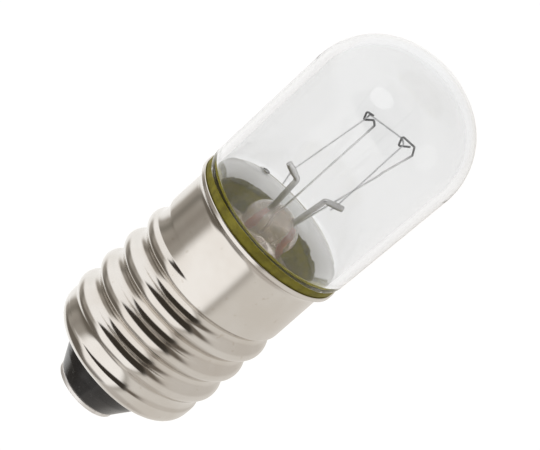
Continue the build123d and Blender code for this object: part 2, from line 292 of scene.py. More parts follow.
def mesh_piece(name: str, *patches: Patch) -> bpy.types.Object:
    """Makes one mesh object of closed grids, with smooth faces and merged poles.

    Args:
        name: Name of the piece.
        patches: Grids that make up the piece.

    Returns:
        The object, linked to the scene, at the origin.
    """
    quads, places, start = [], [], 0
    for patch in patches:
        index, place = patch.corners()
        quads.append(index + start)
        places.append(place)
        start += patch.points.shape[0] * patch.points.shape[1]
    quads, places = np.concatenate(quads), np.concatenate(places)
    points = np.concatenate([patch.points.reshape(-1, 3) for patch in patches]) * MM
    mesh = bpy.data.meshes.new(name)
    mesh.vertices.add(len(points))
    mesh.vertices.foreach_set("co", points.astype(np.float32).ravel())
    mesh.loops.add(quads.size)
    mesh.loops.foreach_set("vertex_index", quads.astype(np.int32).ravel())
    mesh.polygons.add(len(quads))
    mesh.polygons.foreach_set("loop_start", np.arange(0, quads.size, 4, dtype=np.int32))
    mesh.update(calc_edges=True)
    mesh.uv_layers.new(name="UVMap").data.foreach_set("uv", places.astype(np.float32).ravel())
    if all(patch.marks is not None for patch in patches):
        marks = np.concatenate([patch.marks.ravel() for patch in patches])
        mesh.attributes.new("mark", "FLOAT", "POINT").data.foreach_set("value", marks.astype(np.float32))
    merged = bmesh.new()
    merged.from_mesh(mesh)
    bmesh.ops.remove_doubles(merged, verts=merged.verts, dist=MERGE_DISTANCE)
    merged.to_mesh(mesh)
    merged.free()
    mesh.shade_smooth()
    mesh.validate()
    piece = bpy.data.objects.new(name, mesh)
    bpy.context.scene.collection.objects.link(piece)
    return piece


# Shader nodes


class Wiring:
    """Adds nodes to one node tree and joins their sockets."""

    def __init__(self, tree: bpy.types.NodeTree) -> None:
        """Keeps the tree that nodes are added to."""
        self.tree = tree

    def add(self, kind: str, inputs: dict[Any, Any] | None = None, **settings: Any) -> bpy.types.Node:
        """Adds a node.

        Args:
            kind: Node type.
            inputs: Input name or number to a value, or to a socket that feeds it.
            settings: Properties of the node.

        Returns:
            The new node.
        """
        node = self.tree.nodes.new(kind)
        for name, value in settings.items():
            setattr(node, name, value)
        for key, value in (inputs or {}).items():
            self.feed(node.inputs[key], value)
        return node

    def feed(self, socket: bpy.types.NodeSocket, value: Any) -> None:
        """Links a socket to an input, or sets the input's own value."""
        if isinstance(value, bpy.types.NodeSocket):
            self.tree.links.new(value, socket)
        else:
            socket.default_value = value

    def math(self, operation: str, *values: Any, clamp: bool = False) -> bpy.types.NodeSocket:
        """Adds a Math node and returns its result."""
        node = self.add("ShaderNodeMath", dict(enumerate(values)), operation=operation, use_clamp=clamp)
        return node.outputs[0]

    def remap(self, value: Any, low: Any, high: Any, out_low: float = 0.0, out_high: float = 1.0,
              smooth: bool = True) -> bpy.types.NodeSocket:
        """Adds a Map Range node and returns its result.

        Args:
            value: Socket to map.
            low: Value that gives out_low.
            high: Value that gives out_high.
            out_low: Result at low.
            out_high: Result at high.
            smooth: Eased ends in place of straight ones.

        Returns:
            The mapped socket.
        """
        node = self.add(
            "ShaderNodeMapRange",
            {"Value": value, "From Min": low, "From Max": high, "To Min": out_low, "To Max": out_high},
            interpolation_type="SMOOTHSTEP" if smooth else "LINEAR")
        return node.outputs["Result"]

    def mix(self, share: Any, first: Any, second: Any) -> bpy.types.NodeSocket:
        """Adds a colour Mix node, between sockets or plain colours, and returns its result."""
        node = self.add("ShaderNodeMix", data_type="RGBA")
        for key, value in ((0, share), (6, first), (7, second)):
            self.feed(node.inputs[key], (*value, 1.0) if isinstance(value, tuple) else value)
        return node.outputs[2]

    def noise(self, place: bpy.types.NodeSocket, scale: Any, detail: float = 3.0,
              rough: float = 0.55) -> bpy.types.NodeSocket:
        """Adds a Noise Texture and returns its value."""
        node = self.add(
            "ShaderNodeTexNoise", {"Vector": place, "Scale": scale, "Detail": detail, "Roughness": rough})
        return node.outputs["Fac"]

    def bump(self, shader: bpy.types.Node, height: bpy.types.NodeSocket, distance: float,
             strength: float = 1.0) -> None:
        """Bends a shader's normal by a height whose range from 0 to 1 is a distance in metres."""
        node = self.add("ShaderNodeBump", {"Height": height, "Distance": distance, "Strength": strength})
        self.feed(shader.inputs["Normal"], node.outputs[0])


class EffectLibrary:
    """Builds each shared effect once as a node group and hands it out."""

    def __init__(self) -> None:
        """Starts with no group built."""
        self._groups: dict[Effect, bpy.types.NodeTree] = {}

    def place(self, wiring: Wiring, effect: Effect, **values: Any) -> bpy.types.Node:
        """Puts an effect into a material.

        Args:
            wiring: Tree of the material.
            effect: Which effect.
            values: Values or sockets of the group's inputs, with _ for a space.

        Returns:
            The group node.
        """
        if effect not in self._groups:
            self._groups[effect] = self._build(effect)
        node = wiring.add("ShaderNodeGroup", node_tree=self._groups[effect])
        for name, value in values.items():
            wiring.feed(node.inputs[name.replace("_", " ")], value)
        return node

    def _build(self, effect: Effect) -> bpy.types.NodeTree:
        """Makes the node group of an effect."""
        makers = {Effect.GRAIN: self._grain, Effect.RINGS: self._rings, Effect.MARKS: self._marks}
        return makers[effect](effect.value)

    @staticmethod
    def _start(name: str, numbers: dict[str, float], results: Sequence[str]) -> tuple[Wiring, Any, Any]:
        """Makes an empty group with number inputs and number results.

        Args:
            name: Name of the group.
            numbers: Input names with their usual values.
            results: Output names.

        Returns:
            The group's wiring, its input node and its output node.
        """
        tree = bpy.data.node_groups.new(name, "ShaderNodeTree")
        for label, usual in numbers.items():
            socket = tree.interface.new_socket(label, in_out="INPUT", socket_type="NodeSocketFloat")
            socket.default_value = usual
        for label in results:
            tree.interface.new_socket(label, in_out="OUTPUT", socket_type="NodeSocketFloat")
        wiring = Wiring(tree)
        return wiring, wiring.add("NodeGroupInput"), wiring.add("NodeGroupOutput")

    def _grain(self, name: str) -> bpy.types.NodeTree:
        """Fine grain and broad cloudy patches, from two noises on object coordinates.

        Args:
            name: Name of the group.

        Returns:
            The node group.
        """
        wiring, given, result = self._start(
            name, {"Scale": 4000.0, "Patch Scale": 300.0}, ["Height", "Patches"])
        place = wiring.add("ShaderNodeTexCoord").outputs["Object"]
        wiring.feed(result.inputs["Height"], wiring.noise(place, given.outputs["Scale"], 4.0))
        patches = wiring.noise(place, given.outputs["Patch Scale"], 3.0, 0.6)
        wiring.feed(result.inputs["Patches"], wiring.remap(patches, 0.35, 0.68))
        return wiring.tree

    def _rings(self, name: str) -> bpy.types.NodeTree:
        """Fine rings about the axis, as tools leave them: noise drawn out along X and Y.

        Args:
            name: Name of the group.

        Returns:
            The node group.
        """
        wiring, given, result = self._start(name, {"Scale": 9000.0, "Drift": 160.0}, ["Height"])
        place = wiring.add("ShaderNodeTexCoord").outputs["Object"]
        stretch = wiring.add("ShaderNodeCombineXYZ", {
            "X": given.outputs["Drift"], "Y": given.outputs["Drift"], "Z": given.outputs["Scale"]})
        drawn = wiring.add("ShaderNodeVectorMath", {0: place, 1: stretch.outputs[0]}, operation="MULTIPLY")
        wiring.feed(result.inputs["Height"], wiring.noise(drawn.outputs[0], 1.0, 5.0, 0.65))
        return wiring.tree

    def _marks(self, name: str) -> bpy.types.NodeTree:
        """Sparse handling marks: short scratches, where two drawn-out noises cross a high level, and specks.

        Args:
            name: Name of the group.

        Returns:
            The node group.
        """
        wiring, given, result = self._start(name, {"Scale": 700.0, "Amount": 0.5}, ["Scratches", "Specks"])
        place = wiring.add("ShaderNodeTexCoord").outputs["Object"]
        level = wiring.remap(given.outputs["Amount"], 0.0, 1.0, 0.80, 0.60, smooth=False)
        masks = []
        for turn, stretch in (((0.4, 0.9, 0.3), (0.25, 1.0, 6.0)), ((1.1, 0.2, 0.8), (5.0, 0.3, 1.0))):
            turned_place = wiring.add(
                "ShaderNodeMapping", {"Vector": place, "Rotation": turn, "Scale": stretch})
            streak = wiring.noise(turned_place.outputs[0], given.outputs["Scale"], 2.0, 0.5)
            masks.append(wiring.remap(streak, level, wiring.math("ADD", level, 0.06)))
        wiring.feed(result.inputs["Scratches"], wiring.math("MAXIMUM", *masks))
        specks = wiring.noise(place, wiring.math("MULTIPLY", given.outputs["Scale"], 4.0), 1.0, 0.4)
        high = wiring.math("ADD", level, 0.04)
        wiring.feed(result.inputs["Specks"], wiring.remap(specks, level, high))
        return wiring.tree


EFFECTS = EffectLibrary()


# Finishes


@dataclass(frozen=True)
class Finish(ABC):
    """A finish of the lamp, made into a material when it is first used.

    Attributes:
        slot: The record's material slot, which also names the material.
    """

    slot: str

    def material(self) -> bpy.types.Material:
        """The finish's material, built once. The frame's plain materials have the slots' bare names.

        Returns:
            The material, the same one each time.
        """
        name = f"{self.slot}_finish"
        existing = bpy.data.materials.get(name)
        if existing is not None:
            return existing
        material = bpy.data.materials.new(name)
        material.use_nodes = True
        wiring = Wiring(material.node_tree)
        self.wire(wiring, material.node_tree.nodes["Principled BSDF"])
        return material

    @abstractmethod
    def wire(self, wiring: Wiring, shader: bpy.types.Node) -> None:
        """Sets the shader's own values and feeds what changes over the surface."""

    def dress(self, piece: bpy.types.Object, node: str) -> None:
        """Gives a piece this finish and its place in the frame.

        Args:
            piece: The finished mesh object.
            node: Node of the frame that the piece stands for.
        """
        piece.data.materials.append(self.material())
        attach(piece, BODY)
        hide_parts(node)
        log.info("%s stands for %s: %d faces", piece.name, node, len(piece.data.polygons))


@dataclass(frozen=True)
class Plate(Finish):
    """Bright plated or bare metal with tool rings, dulled patches, handling marks and painted shade at thread
    roots.

    Attributes:
        colour: Clean metal.
        tarnish_and_shade: Metal where it has dulled, also the colour of the painted shade at the thread's roots.
        roughness: Roughness of the clean metal.
        dullness: Roughness added by tarnish and marks.
        rings: Depth of the tool rings in metres.
        ring_scale: Rings to a metre along the axis.
        patch_scale: Size of the tarnish patches, to a metre.
        patch_share: Most of the tarnish that the patches show.
        marks: Amount of handling marks, from 0 to 1.
        scratch_depth: Depth of the scratches, in tool rings.
        root_shade: Painted shade at the thread's roots, for a piece with the attribute "mark" from root to
            crest.
    """

    colour: Colour = (0.745, 0.725, 0.695)
    tarnish_and_shade: Colour = (0.655, 0.615, 0.565)
    roughness: float = 0.11
    dullness: float = 0.08
    rings: float = 4e-7
    ring_scale: float = 7000.0
    # patch_scale: Size of the dulled patches, to a metre. patch_share: Most of the dulled colour that the
    # patches show.
    patch_scale: float = 260.0
    patch_share: float = 0.55
    marks: float = 0.45
    scratch_depth: float = 1.5
    root_shade: float = 0.0

    def wire(self, wiring: Wiring, shader: bpy.types.Node) -> None:
        """Mixes clean and dulled metal, roughens it there, and adds the rings and marks as bump.

        Args:
            wiring: Tree of the material.
            shader: The material's own shader.
        """
        grain = EFFECTS.place(wiring, Effect.GRAIN, Patch_Scale=self.patch_scale)
        rings = EFFECTS.place(wiring, Effect.RINGS, Scale=self.ring_scale)
        marks = EFFECTS.place(wiring, Effect.MARKS, Amount=self.marks)
        dull = wiring.math("MULTIPLY", grain.outputs["Patches"], self.patch_share)
        dull = wiring.math("ADD", dull, wiring.math("MULTIPLY", marks.outputs["Specks"], 0.5), clamp=True)
        # Painted shade: the thread's roots take the dulled colour, darker than the clean metal.
        if self.root_shade > 0:
            crest = wiring.add("ShaderNodeAttribute", attribute_name="mark").outputs["Fac"]
            root_shading = wiring.remap(crest, 0.22, 0.0, 0.0, self.root_shade)
            dull = wiring.math("ADD", dull, root_shading, clamp=True)
        wiring.feed(shader.inputs["Base Color"], wiring.mix(dull, self.colour, self.tarnish_and_shade))
        worn = wiring.math("MAXIMUM", dull, marks.outputs["Scratches"])
        rough = wiring.remap(worn, 0.0, 1.0, self.roughness, self.roughness + self.dullness, smooth=False)
        wiring.feed(shader.inputs["Roughness"], rough)
        height = wiring.math(
            "MULTIPLY_ADD", marks.outputs["Scratches"], -self.scratch_depth, rings.outputs["Height"])
        wiring.bump(shader, height, self.rings)
        shader.inputs["Metallic"].default_value = 1.0


@dataclass(frozen=True)
class Wire(Finish):
    """Drawn wire: metal with fine lines along its length and darker patches where it was heated.

    Attributes:
        colour: Clean metal.
        heated: Metal darkened or reddened by heat.
        heat_share: Most of the heated colour that shows.
        roughness: Roughness of the clean metal.
        line_depth: Depth of the drawing lines in metres.
        burnt_from: Share of the wire's rows after which it is burnt; past 1 none of it is.
        burnt_edge: Half the width of the burnt part's soft edge, in the same share.
        burnt: Colour of the burnt end.
    """

    colour: Colour = (0.55, 0.54, 0.52)
    heated: Colour = (0.28, 0.26, 0.24)
    heat_share: float = 0.7
    roughness: float = 0.28
    line_depth: float = 3e-6
    burnt_from: float = 2.0
    burnt_edge: float = 0.06
    burnt: Colour = (0.19, 0.19, 0.19)

    def wire(self, wiring: Wiring, shader: bpy.types.Node) -> None:
        """Drawing lines run along the wire on its own texture coordinates.

        Args:
            wiring: Tree of the material.
            shader: The material's own shader.
        """
        grain = EFFECTS.place(wiring, Effect.GRAIN, Scale=9000.0, Patch_Scale=900.0)
        place = wiring.add("ShaderNodeTexCoord").outputs["UV"]
        drawn = wiring.add("ShaderNodeMapping", {"Vector": place, "Scale": (26.0, 3.0, 1.0)})
        lines = wiring.noise(drawn.outputs[0], 1.0, 3.0)
        heat = wiring.math("MULTIPLY", grain.outputs["Patches"], self.heat_share)
        along = wiring.add("ShaderNodeSeparateXYZ", {0: place}).outputs["Y"]
        at_end = wiring.remap(along, self.burnt_from - self.burnt_edge, self.burnt_from + self.burnt_edge)
        metal = wiring.mix(heat, self.colour, self.heated)
        wiring.feed(shader.inputs["Base Color"], wiring.mix(at_end, metal, self.burnt))
        rough = wiring.remap(grain.outputs["Height"], 0.3, 0.7, self.roughness, self.roughness + 0.16)
        wiring.feed(shader.inputs["Roughness"], rough)
        wiring.bump(shader, lines, self.line_depth, 0.6)
        shader.inputs["Metallic"].default_value = 1.0


@dataclass(frozen=True)
class Glass(Finish):
    """Clear or tinted glass with the slow ripple of blown or pressed work.

    Attributes:
        tint: Colour of the glass.
        roughness: Surface roughness.
        index: Index of refraction.
        clarity: Share of the light that passes clear; the rest is milky.
        ripple: Depth of the ripple in metres.
        ripple_scale: Ripples to a metre.
    """

    tint: Colour = (1.0, 1.0, 1.0)
    roughness: float = 0.0
    index: float = 1.47
    clarity: float = 1.0
    ripple: float = 6e-6
    ripple_scale: float = 260.0

    def wire(self, wiring: Wiring, shader: bpy.types.Node) -> None:
        """Plain transmission, the ripple as bump, and clear to shadow rays, so that light reaches the inside.

        Args:
            wiring: Tree of the material.
            shader: The material's own shader.
        """
        grain = EFFECTS.place(wiring, Effect.GRAIN, Scale=self.ripple_scale)
        wiring.bump(shader, grain.outputs["Height"], self.ripple)
        shader.inputs["Base Color"].default_value = (*self.tint, 1.0)
        shader.inputs["Roughness"].default_value = self.roughness
        shader.inputs["IOR"].default_value = self.index
        shader.inputs["Transmission Weight"].default_value = self.clarity
        seen = wiring.add("ShaderNodeLightPath").outputs
        clear = wiring.add("ShaderNodeBsdfTransparent", {"Color": (*self.tint, 1.0)})
        both = wiring.add(
            "ShaderNodeMixShader", {0: seen["Is Shadow Ray"], 1: shader.outputs[0], 2: clear.outputs[0]})
        wiring.feed(wiring.tree.nodes["Material Output"].inputs["Surface"], both.outputs[0])


@dataclass(frozen=True)
class BlackGlass(Finish):
    """Opaque black glass, glossy, with flow lines from the mould, small pits and dust.

    Attributes:
        colour: Clean glass.
        dusty: Glass under dust.
        roughness: Roughness of the clean glass.
        dust_roughness: Roughness added by dust.
        index: Index of refraction.
        flow_depth: Depth of the flow lines in metres.
    """

    colour: Colour = (0.008, 0.008, 0.009)
    dusty: Colour = (0.022, 0.021, 0.020)
    roughness: float = 0.09
    dust_roughness: float = 0.25
    index: float = 1.55
    flow_depth: float = 1.2e-5

    def wire(self, wiring: Wiring, shader: bpy.types.Node) -> None:
        """Dust lightens the black a little, and pits and flow lines bend the gloss.

        Args:
            wiring: Tree of the material.
            shader: The material's own shader.
        """
        grain = EFFECTS.place(wiring, Effect.GRAIN, Scale=1500.0, Patch_Scale=700.0)
        rings = EFFECTS.place(wiring, Effect.RINGS, Scale=2600.0, Drift=500.0)
        marks = EFFECTS.place(wiring, Effect.MARKS, Scale=1100.0, Amount=0.55)
        dust = wiring.math("MULTIPLY", grain.outputs["Patches"], 0.5)
        dust = wiring.math("ADD", dust, marks.outputs["Specks"], clamp=True)
        wiring.feed(shader.inputs["Base Color"], wiring.mix(dust, self.colour, self.dusty))
        rough = wiring.remap(
            dust, 0.0, 1.0, self.roughness, self.roughness + self.dust_roughness, smooth=False)
        wiring.feed(shader.inputs["Roughness"], rough)
        height = wiring.math("MULTIPLY_ADD", marks.outputs["Scratches"], -0.8, rings.outputs["Height"])
        wiring.bump(shader, height, self.flow_depth, 0.5)
        shader.inputs["IOR"].default_value = self.index


@dataclass(frozen=True)
class Cement(Finish):
    """Baked resin cement: olive, fine grained, with paler and browner patches, and painted light against the
    glass.

    Attributes:
        colour: Most of the cement.
        pale: Its broad paler patches.
        brown: Its small browner patches.
        lit_olive: Brighter, yellower cement against the glass, where the piece's attribute "mark" is -1: painted
            light.
        painted_highlight: Near-white painted highlight on the glass, where that attribute is 1.
        grain: Depth of the grain in metres.
    """

    colour: Colour = (0.17, 0.15, 0.012)
    pale: Colour = (0.26, 0.23, 0.032)
    brown: Colour = (0.08, 0.063, 0.012)
    lit_olive: Colour = (0.39, 0.335, 0.012)
    painted_highlight: Colour = (0.93, 0.915, 0.885)
    grain: float = 2.5e-5

    def wire(self, wiring: Wiring, shader: bpy.types.Node) -> None:
        """Two patch sizes and the mark mix the colours, and the grain gives bump and roughness.

        Args:
            wiring: Tree of the material.
            shader: The material's own shader.
        """
        broad = EFFECTS.place(wiring, Effect.GRAIN, Scale=5200.0, Patch_Scale=520.0)
        small = EFFECTS.place(wiring, Effect.GRAIN, Scale=11000.0, Patch_Scale=1900.0)
        mixed = wiring.mix(broad.outputs["Patches"], self.colour, self.pale)
        spots = wiring.math("MULTIPLY", small.outputs["Patches"], 0.55)
        mixed = wiring.mix(spots, mixed, self.brown)
        mark = wiring.add("ShaderNodeAttribute", attribute_name="mark").outputs["Fac"]
        # Painted light: brighter, yellower cement against the glass, most where the mark is -1.
        lit_olive = wiring.mix(wiring.math("MULTIPLY", spots, 0.5), self.lit_olive, self.pale)
        mixed = wiring.mix(wiring.remap(mark, -0.1, -0.9), mixed, lit_olive)
        # Painted highlight: near-white where the mark nears 1, with a ragged edge.
        ragged = wiring.math("ADD", mark, wiring.remap(broad.outputs["Patches"], 0.0, 1.0, -0.25, 0.25))
        wiring.feed(
            shader.inputs["Base Color"], wiring.mix(wiring.remap(ragged, 0.4, 0.65), mixed, self.painted_highlight))
        shader.inputs["Specular IOR Level"].default_value = 0.2
        rough = wiring.remap(small.outputs["Height"], 0.3, 0.7, 0.5, 0.75)
        wiring.feed(shader.inputs["Roughness"], rough)
        height = wiring.math("MULTIPLY_ADD", small.outputs["Height"], 0.5, broad.outputs["Height"])
        wiring.bump(shader, height, self.grain, 0.7)


@dataclass(frozen=True)
class Solder(Finish):
    """Soft solder that set with a satin skin, wrinkled and a little dulled.

    Attributes:
        colour: Clean solder.
        dull: Dulled solder.
        wrinkles: Depth of the skin's wrinkles in metres.
    """

    colour: Colour = (0.82, 0.81, 0.80)
    dull: Colour = (0.62, 0.61, 0.60)
    wrinkles: float = 3e-5

    def wire(self, wiring: Wiring, shader: bpy.types.Node) -> None:
        """Cloudy patches dull the metal, and a coarse grain wrinkles the skin.

        Args:
            wiring: Tree of the material.
            shader: The material's own shader.
        """
        grain = EFFECTS.place(wiring, Effect.GRAIN, Scale=2400.0, Patch_Scale=1200.0)
        marks = EFFECTS.place(wiring, Effect.MARKS, Scale=1500.0, Amount=0.6)
        share = wiring.math("MULTIPLY", grain.outputs["Patches"], 0.6)
        share = wiring.math("MAXIMUM", share, marks.outputs["Specks"])
        wiring.feed(shader.inputs["Base Color"], wiring.mix(share, self.colour, self.dull))
        wiring.feed(shader.inputs["Roughness"], wiring.remap(share, 0.0, 1.0, 0.24, 0.5, smooth=False))
        wiring.bump(shader, grain.outputs["Height"], self.wrinkles, 0.6)
        shader.inputs["Metallic"].default_value = 1.0


# The shell's metal, with painted shade at its thread's roots.
NICKEL_PLATE = Plate("nickel_plate", root_shade=0.35)
CONTACT_PLATE = Plate(
    "contact_plate", colour=(0.90, 0.89, 0.88), tarnish_and_shade=(0.74, 0.72, 0.70), roughness=0.42, patch_scale=900.0,
    marks=0.7)
BLACK_GLASS = BlackGlass("black_glass")
SOLDER = Solder("solder")
BASE_CEMENT = Cement("base_cement")
CLEAR_GLASS = Glass("clear_glass", tint=(0.888, 0.893, 0.897), ripple=5e-6, ripple_scale=60.0)
STEM_GLASS = Glass(
    "stem_glass", tint=(0.98, 0.89, 0.81), index=1.56, clarity=0.8, ripple=1.2e-4, ripple_scale=900.0)
NICKEL_WIRE = Wire("nickel_wire", colour=(0.56, 0.55, 0.535), heated=(0.34, 0.33, 0.32))
COPPER_SEAL = Wire("copper_seal", colour=(0.60, 0.24, 0.15), heated=(0.34, 0.11, 0.07))
TINNED_LEAD = Wire("tinned_lead", colour=(0.68, 0.66, 0.61), heated=(0.5, 0.44, 0.36))
SUPPORT_WIRE = Wire("support_wire", colour=(0.76, 0.76, 0.76), heated=(0.58, 0.58, 0.58), burnt_from=0.6)
FILAMENT_WIRE = Wire("filament_wire", colour=(0.62, 0.62, 0.63), heated=(0.42, 0.42, 0.43), roughness=0.4)


# Shared heights


@dataclass(frozen=True)
class Levels:
    """Heights that the sub-assemblies share, read from the frame, and the shell's wall.

    Attributes:
        top: Top of the bulb.
        rim_top: Top of the shell's rim.
        shell_bottom: Closed end of the shell.
        insulator_tip: Lower face of the insulator.
        contact_low: Lower face of the contact plate.
        neck_lip: Lower end of the bulb's neck.
        stem_top: Top of the stem's press.
        exhaust_tip: Lower end of the exhaust tube.
        wall: Thickness of the shell's sheet.
    """

    top: float
    rim_top: float
    shell_bottom: float
    insulator_tip: float
    contact_low: float
    neck_lip: float
    stem_top: float
    exhaust_tip: float
    wall: float = 0.28

    @classmethod
    def from_frame(cls) -> "Levels":
        """Reads the heights off the nodes' boxes."""

        def low(node: str) -> float:
            """Lowest height of a node in millimetres."""
            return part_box(node)[0].z / MM

        def high(node: str) -> float:
            """Highest height of a node in millimetres."""
            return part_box(node)[1].z / MM

        return cls(
            top=high("glass_bulb"), rim_top=high("screw_shell"), shell_bottom=low("screw_shell"),
            insulator_tip=low("base_insulator"), contact_low=low("centre_contact"),
            neck_lip=low("glass_bulb"), stem_top=high("glass_stem"), exhaust_tip=low("glass_stem"))


# Sub-assemblies


@dataclass
class ScrewBase:
    """Rolled shell, insulator, contact plate and the two drops of solder.

    Attributes:
        levels: Heights read from the frame.
        corner: Rounding of the shell's closed end.
        crest_below: First crest below the rim, on the X axis.
        crest_runout: Heights of a crest below the rim between which it sinks into the skirt.
        root_runout: Heights of a root below the rim between which it fills up to the skirt.
        crest_start: The same for the crests at the closed end.
        root_start: The same for the roots at the closed end.
        blend: Rounding where the thread meets the skirt's radius.
        waver: Two slow unevennesses of the drawn wall.
        plain_mark: Value of the attribute "mark" off the thread.
        clearance: Room between the insulator and the sheet.
        seat_offset: Step between the surfaces of seated pieces, so that none coincide.
        throat_spread: How much wider than the throat the insulator is above it.
        collar_slant: How far the insulator's collar slants in at its foot.
        insulator_rounds: Rounding of each corner of its outline, from the lower edge of its hole outwards.
        flank_share: Where the insulator's flank bends, as a share from its tip to the throat.
        flank_bulge: How far it stands out there.
        dimple: Share of its radius by which the insulator's flank is uneven.
        dimple_above: Height above its tip where the flank is most uneven.
        dimple_reach: Distance from there at which this fades.
        solder_waver: Two unevennesses of the centre solder's foot, as shares of its radius.
        drop_radius: Side solder, before it is drawn out along the rim.
        drop_angle: Place of the side solder about the axis, in degrees.
        drop_flat: Its size across the rim and upwards, as shares of its length.
        drop_rise: Height of its middle above the rim.
        drop_waver: Its two unevennesses, as shares of its radius.
    """

    levels: Levels
    skirt_radius: float = 4.55
    rim_radius: float = 4.91
    rim_land: float = 0.11
    rim_edge: float = 0.25
    rim_round: float = 0.05
    flare_height: float = 0.85
    corner: float = 1.1
    throat_radius: float = 3.05
    pitch: float = 1.814
    crest_radius: float = 4.72
    root_radius: float = 4.21
    crest_bend: float = 0.57
    crest_below: float = 7.16
    crest_runout: tuple[float, float] = (4.27, 4.07)
    root_runout: tuple[float, float] = (4.1, 3.3)
    crest_start: tuple[float, float] = (10.05, 10.95)
    root_start: tuple[float, float] = (9.3, 11.2)
    blend: float = 0.08
    columns: int = 216
    fine_step: float = 0.04
    plain_step: float = 0.12
    waver: tuple[float, float] = (0.007, 0.004)
    plain_mark: float = 0.6
    clearance: float = 0.02
    seat_offset: float = 0.01
    throat_spread: float = 0.1
    collar_slant: float = 0.8
    insulator_rounds: Sequence[float] = (0.02, 0.16, 1.5, 0.4, 0.03, 0.3, 0.1, 0.02)
    flank_share: float = 0.52
    flank_bulge: float = 0.05
    dimple: float = 0.006
    dimple_above: float = 0.6
    dimple_reach: float = 0.7
    outline_step: float = 0.08
    insulator_columns: int = 128
    contact_columns: int = 112
    solder_columns: int = 96
    tip_radius: float = 2.0
    contact_radius: float = 1.95
    contact_step: float = 0.06
    rivet_radius: float = 0.62
    rivet_wall: float = 0.16
    rivet_length: float = 1.3
    rivet_round: float = 0.05
    plate_round: float = 0.07
    solder_radius: float = 1.6
    solder_plug: float = 0.6
    solder_waver: tuple[float, float] = (0.05, 0.03)
    solder_step: float = 0.05
    drop_radius: float = 0.36
    drop_angle: float = 100.0
    drop_flat: tuple[float, float] = (0.78, 0.9)
    drop_rise: float = 0.02
    drop_waver: tuple[float, float] = (0.05, 0.04)
    drop_rows: int = 40
    drop_columns: int = 56

    @property
    def thread_low(self) -> float:
        """Height where the thread starts, at the top of the closed end's rounding."""
        return self.levels.shell_bottom + self.corner

    @property
    def skirt_bore(self) -> float:
        """Radius inside the skirt."""
        return self.skirt_radius - self.levels.wall

    @property
    def mouth(self) -> float:
        """Radius inside the rim."""
        return self.rim_radius - self.rim_land

    @property
    def flare_start(self) -> float:
        """Height where the flare leaves the skirt."""
        return self.levels.rim_top - self.flare_height

    def build(self) -> None:
        """Builds and dresses every piece of the base."""
        NICKEL_PLATE.dress(self.shell(), "screw_shell")
        BLACK_GLASS.dress(self.insulator(), "base_insulator")
        CONTACT_PLATE.dress(self.contact(), "centre_contact")
        SOLDER.dress(self.centre_drop(), "centre_solder")
        SOLDER.dress(self.side_drop(), "side_solder")

    def turns(self, angle: np.ndarray, height: np.ndarray) -> np.ndarray:
        """Pitches above the first crest at each point; a whole number is a crest and a half is a root."""
        return (height - (self.levels.rim_top - self.crest_below)) / self.pitch - angle / FULL_TURN

    def thread_radius(self, turns: np.ndarray) -> np.ndarray:
        """Radius of the full thread: a round crest and a tighter root, joined where their slopes agree.

        With d the distance along the axis from the nearest crest, the radius is crest - C + sqrt(C^2 - d^2)
        near the crest and root + R - sqrt(R^2 - (pitch / 2 - d)^2) near the root. Both arcs turn by the same
        angle t, with tan(t / 2) = depth / (pitch / 2), and C + R = (pitch / 2) / sin(t).

        Args:
            turns: Pitches above the first crest.

        Returns:
            The radius at each point.
        """
        turn = 2 * math.atan2(self.crest_radius - self.root_radius, self.pitch / 2)
        crest_bend = self.crest_bend
        root_bend = self.pitch / 2 / math.sin(turn) - crest_bend
        from_crest = np.abs((turns + 0.5) % 1.0 - 0.5) * self.pitch
        from_root = self.pitch / 2 - from_crest
        near = from_crest < crest_bend * math.sin(turn)
        crest = self.crest_radius - crest_bend + np.sqrt(crest_bend ** 2 - np.where(near, from_crest, 0) ** 2)
        root = self.root_radius + root_bend - np.sqrt(root_bend ** 2 - np.where(near, 0, from_root) ** 2)
        return np.where(near, crest, root)

    def rolled(self, profile: np.ndarray, inset: float) -> tuple[np.ndarray, np.ndarray]:
        """Grid of the sheet's surface: the plain profile and the thread as a relief on it.

        The relief is the full thread's radius less the skirt's. Its part below the skirt fades with the
        height of the nearest root and its part above with the height of the nearest crest, at both ends of
        the thread, so that the last groove ends at one place on its way round.

        Args:
            profile: Plain radii and heights.
            inset: Distance of this surface inside the outer one.

        Returns:
            Grid of points and the thread's share from root (0) to crest (1).
        """
        angle = circle(self.columns)[None]
        plain, height = profile[:, :1], profile[:, 1:]
        turns = self.turns(angle, height)
        below_rim = self.levels.rim_top - height
        crest_below = below_rim + ((turns + 0.5) % 1.0 - 0.5) * self.pitch
        root_below = below_rim + (turns % 1.0 - 0.5) * self.pitch
        sunk = np.maximum(eased(crest_below, *self.crest_runout), eased(crest_below, *self.crest_start))
        filled = np.maximum(eased(root_below, *self.root_runout), eased(root_below, *self.root_start))
        relief = self.thread_radius(turns) - self.skirt_radius
        groove = soft_min(relief, np.zeros_like(relief), self.blend)
        radius = plain + groove * (1 - filled) + (relief - groove) * (1 - sunk)
        on_wall = (height > self.thread_low) & (below_rim > self.flare_height)
        broad, narrow = self.waver
        radius = radius + on_wall * (
            broad * np.sin(2 * angle + 0.4 * height) + narrow * np.sin(5 * angle - 0.9 * height + 1.0))
        share = (radius + inset - self.root_radius) / (self.crest_radius - self.root_radius)
        return around_axis(radius, angle, height), np.where(on_wall, np.clip(share, 0, 1), self.plain_mark)

    def flare(self, start: Point, end: Point) -> np.ndarray:
        """Arc that leaves the skirt upright and opens to the mouth.

        Args:
            start: Radius and height where it leaves the skirt.
            end: Radius and height where it ends.

        Returns:
            Points from start to end.
        """
        rise, reach = end[1] - start[1], end[0] - start[0]
        radius = (rise ** 2 + reach ** 2) / (2 * reach)
        return arc((start[0] + radius, start[1]), radius, math.pi, math.pi - math.asin(rise / radius), 0.05)

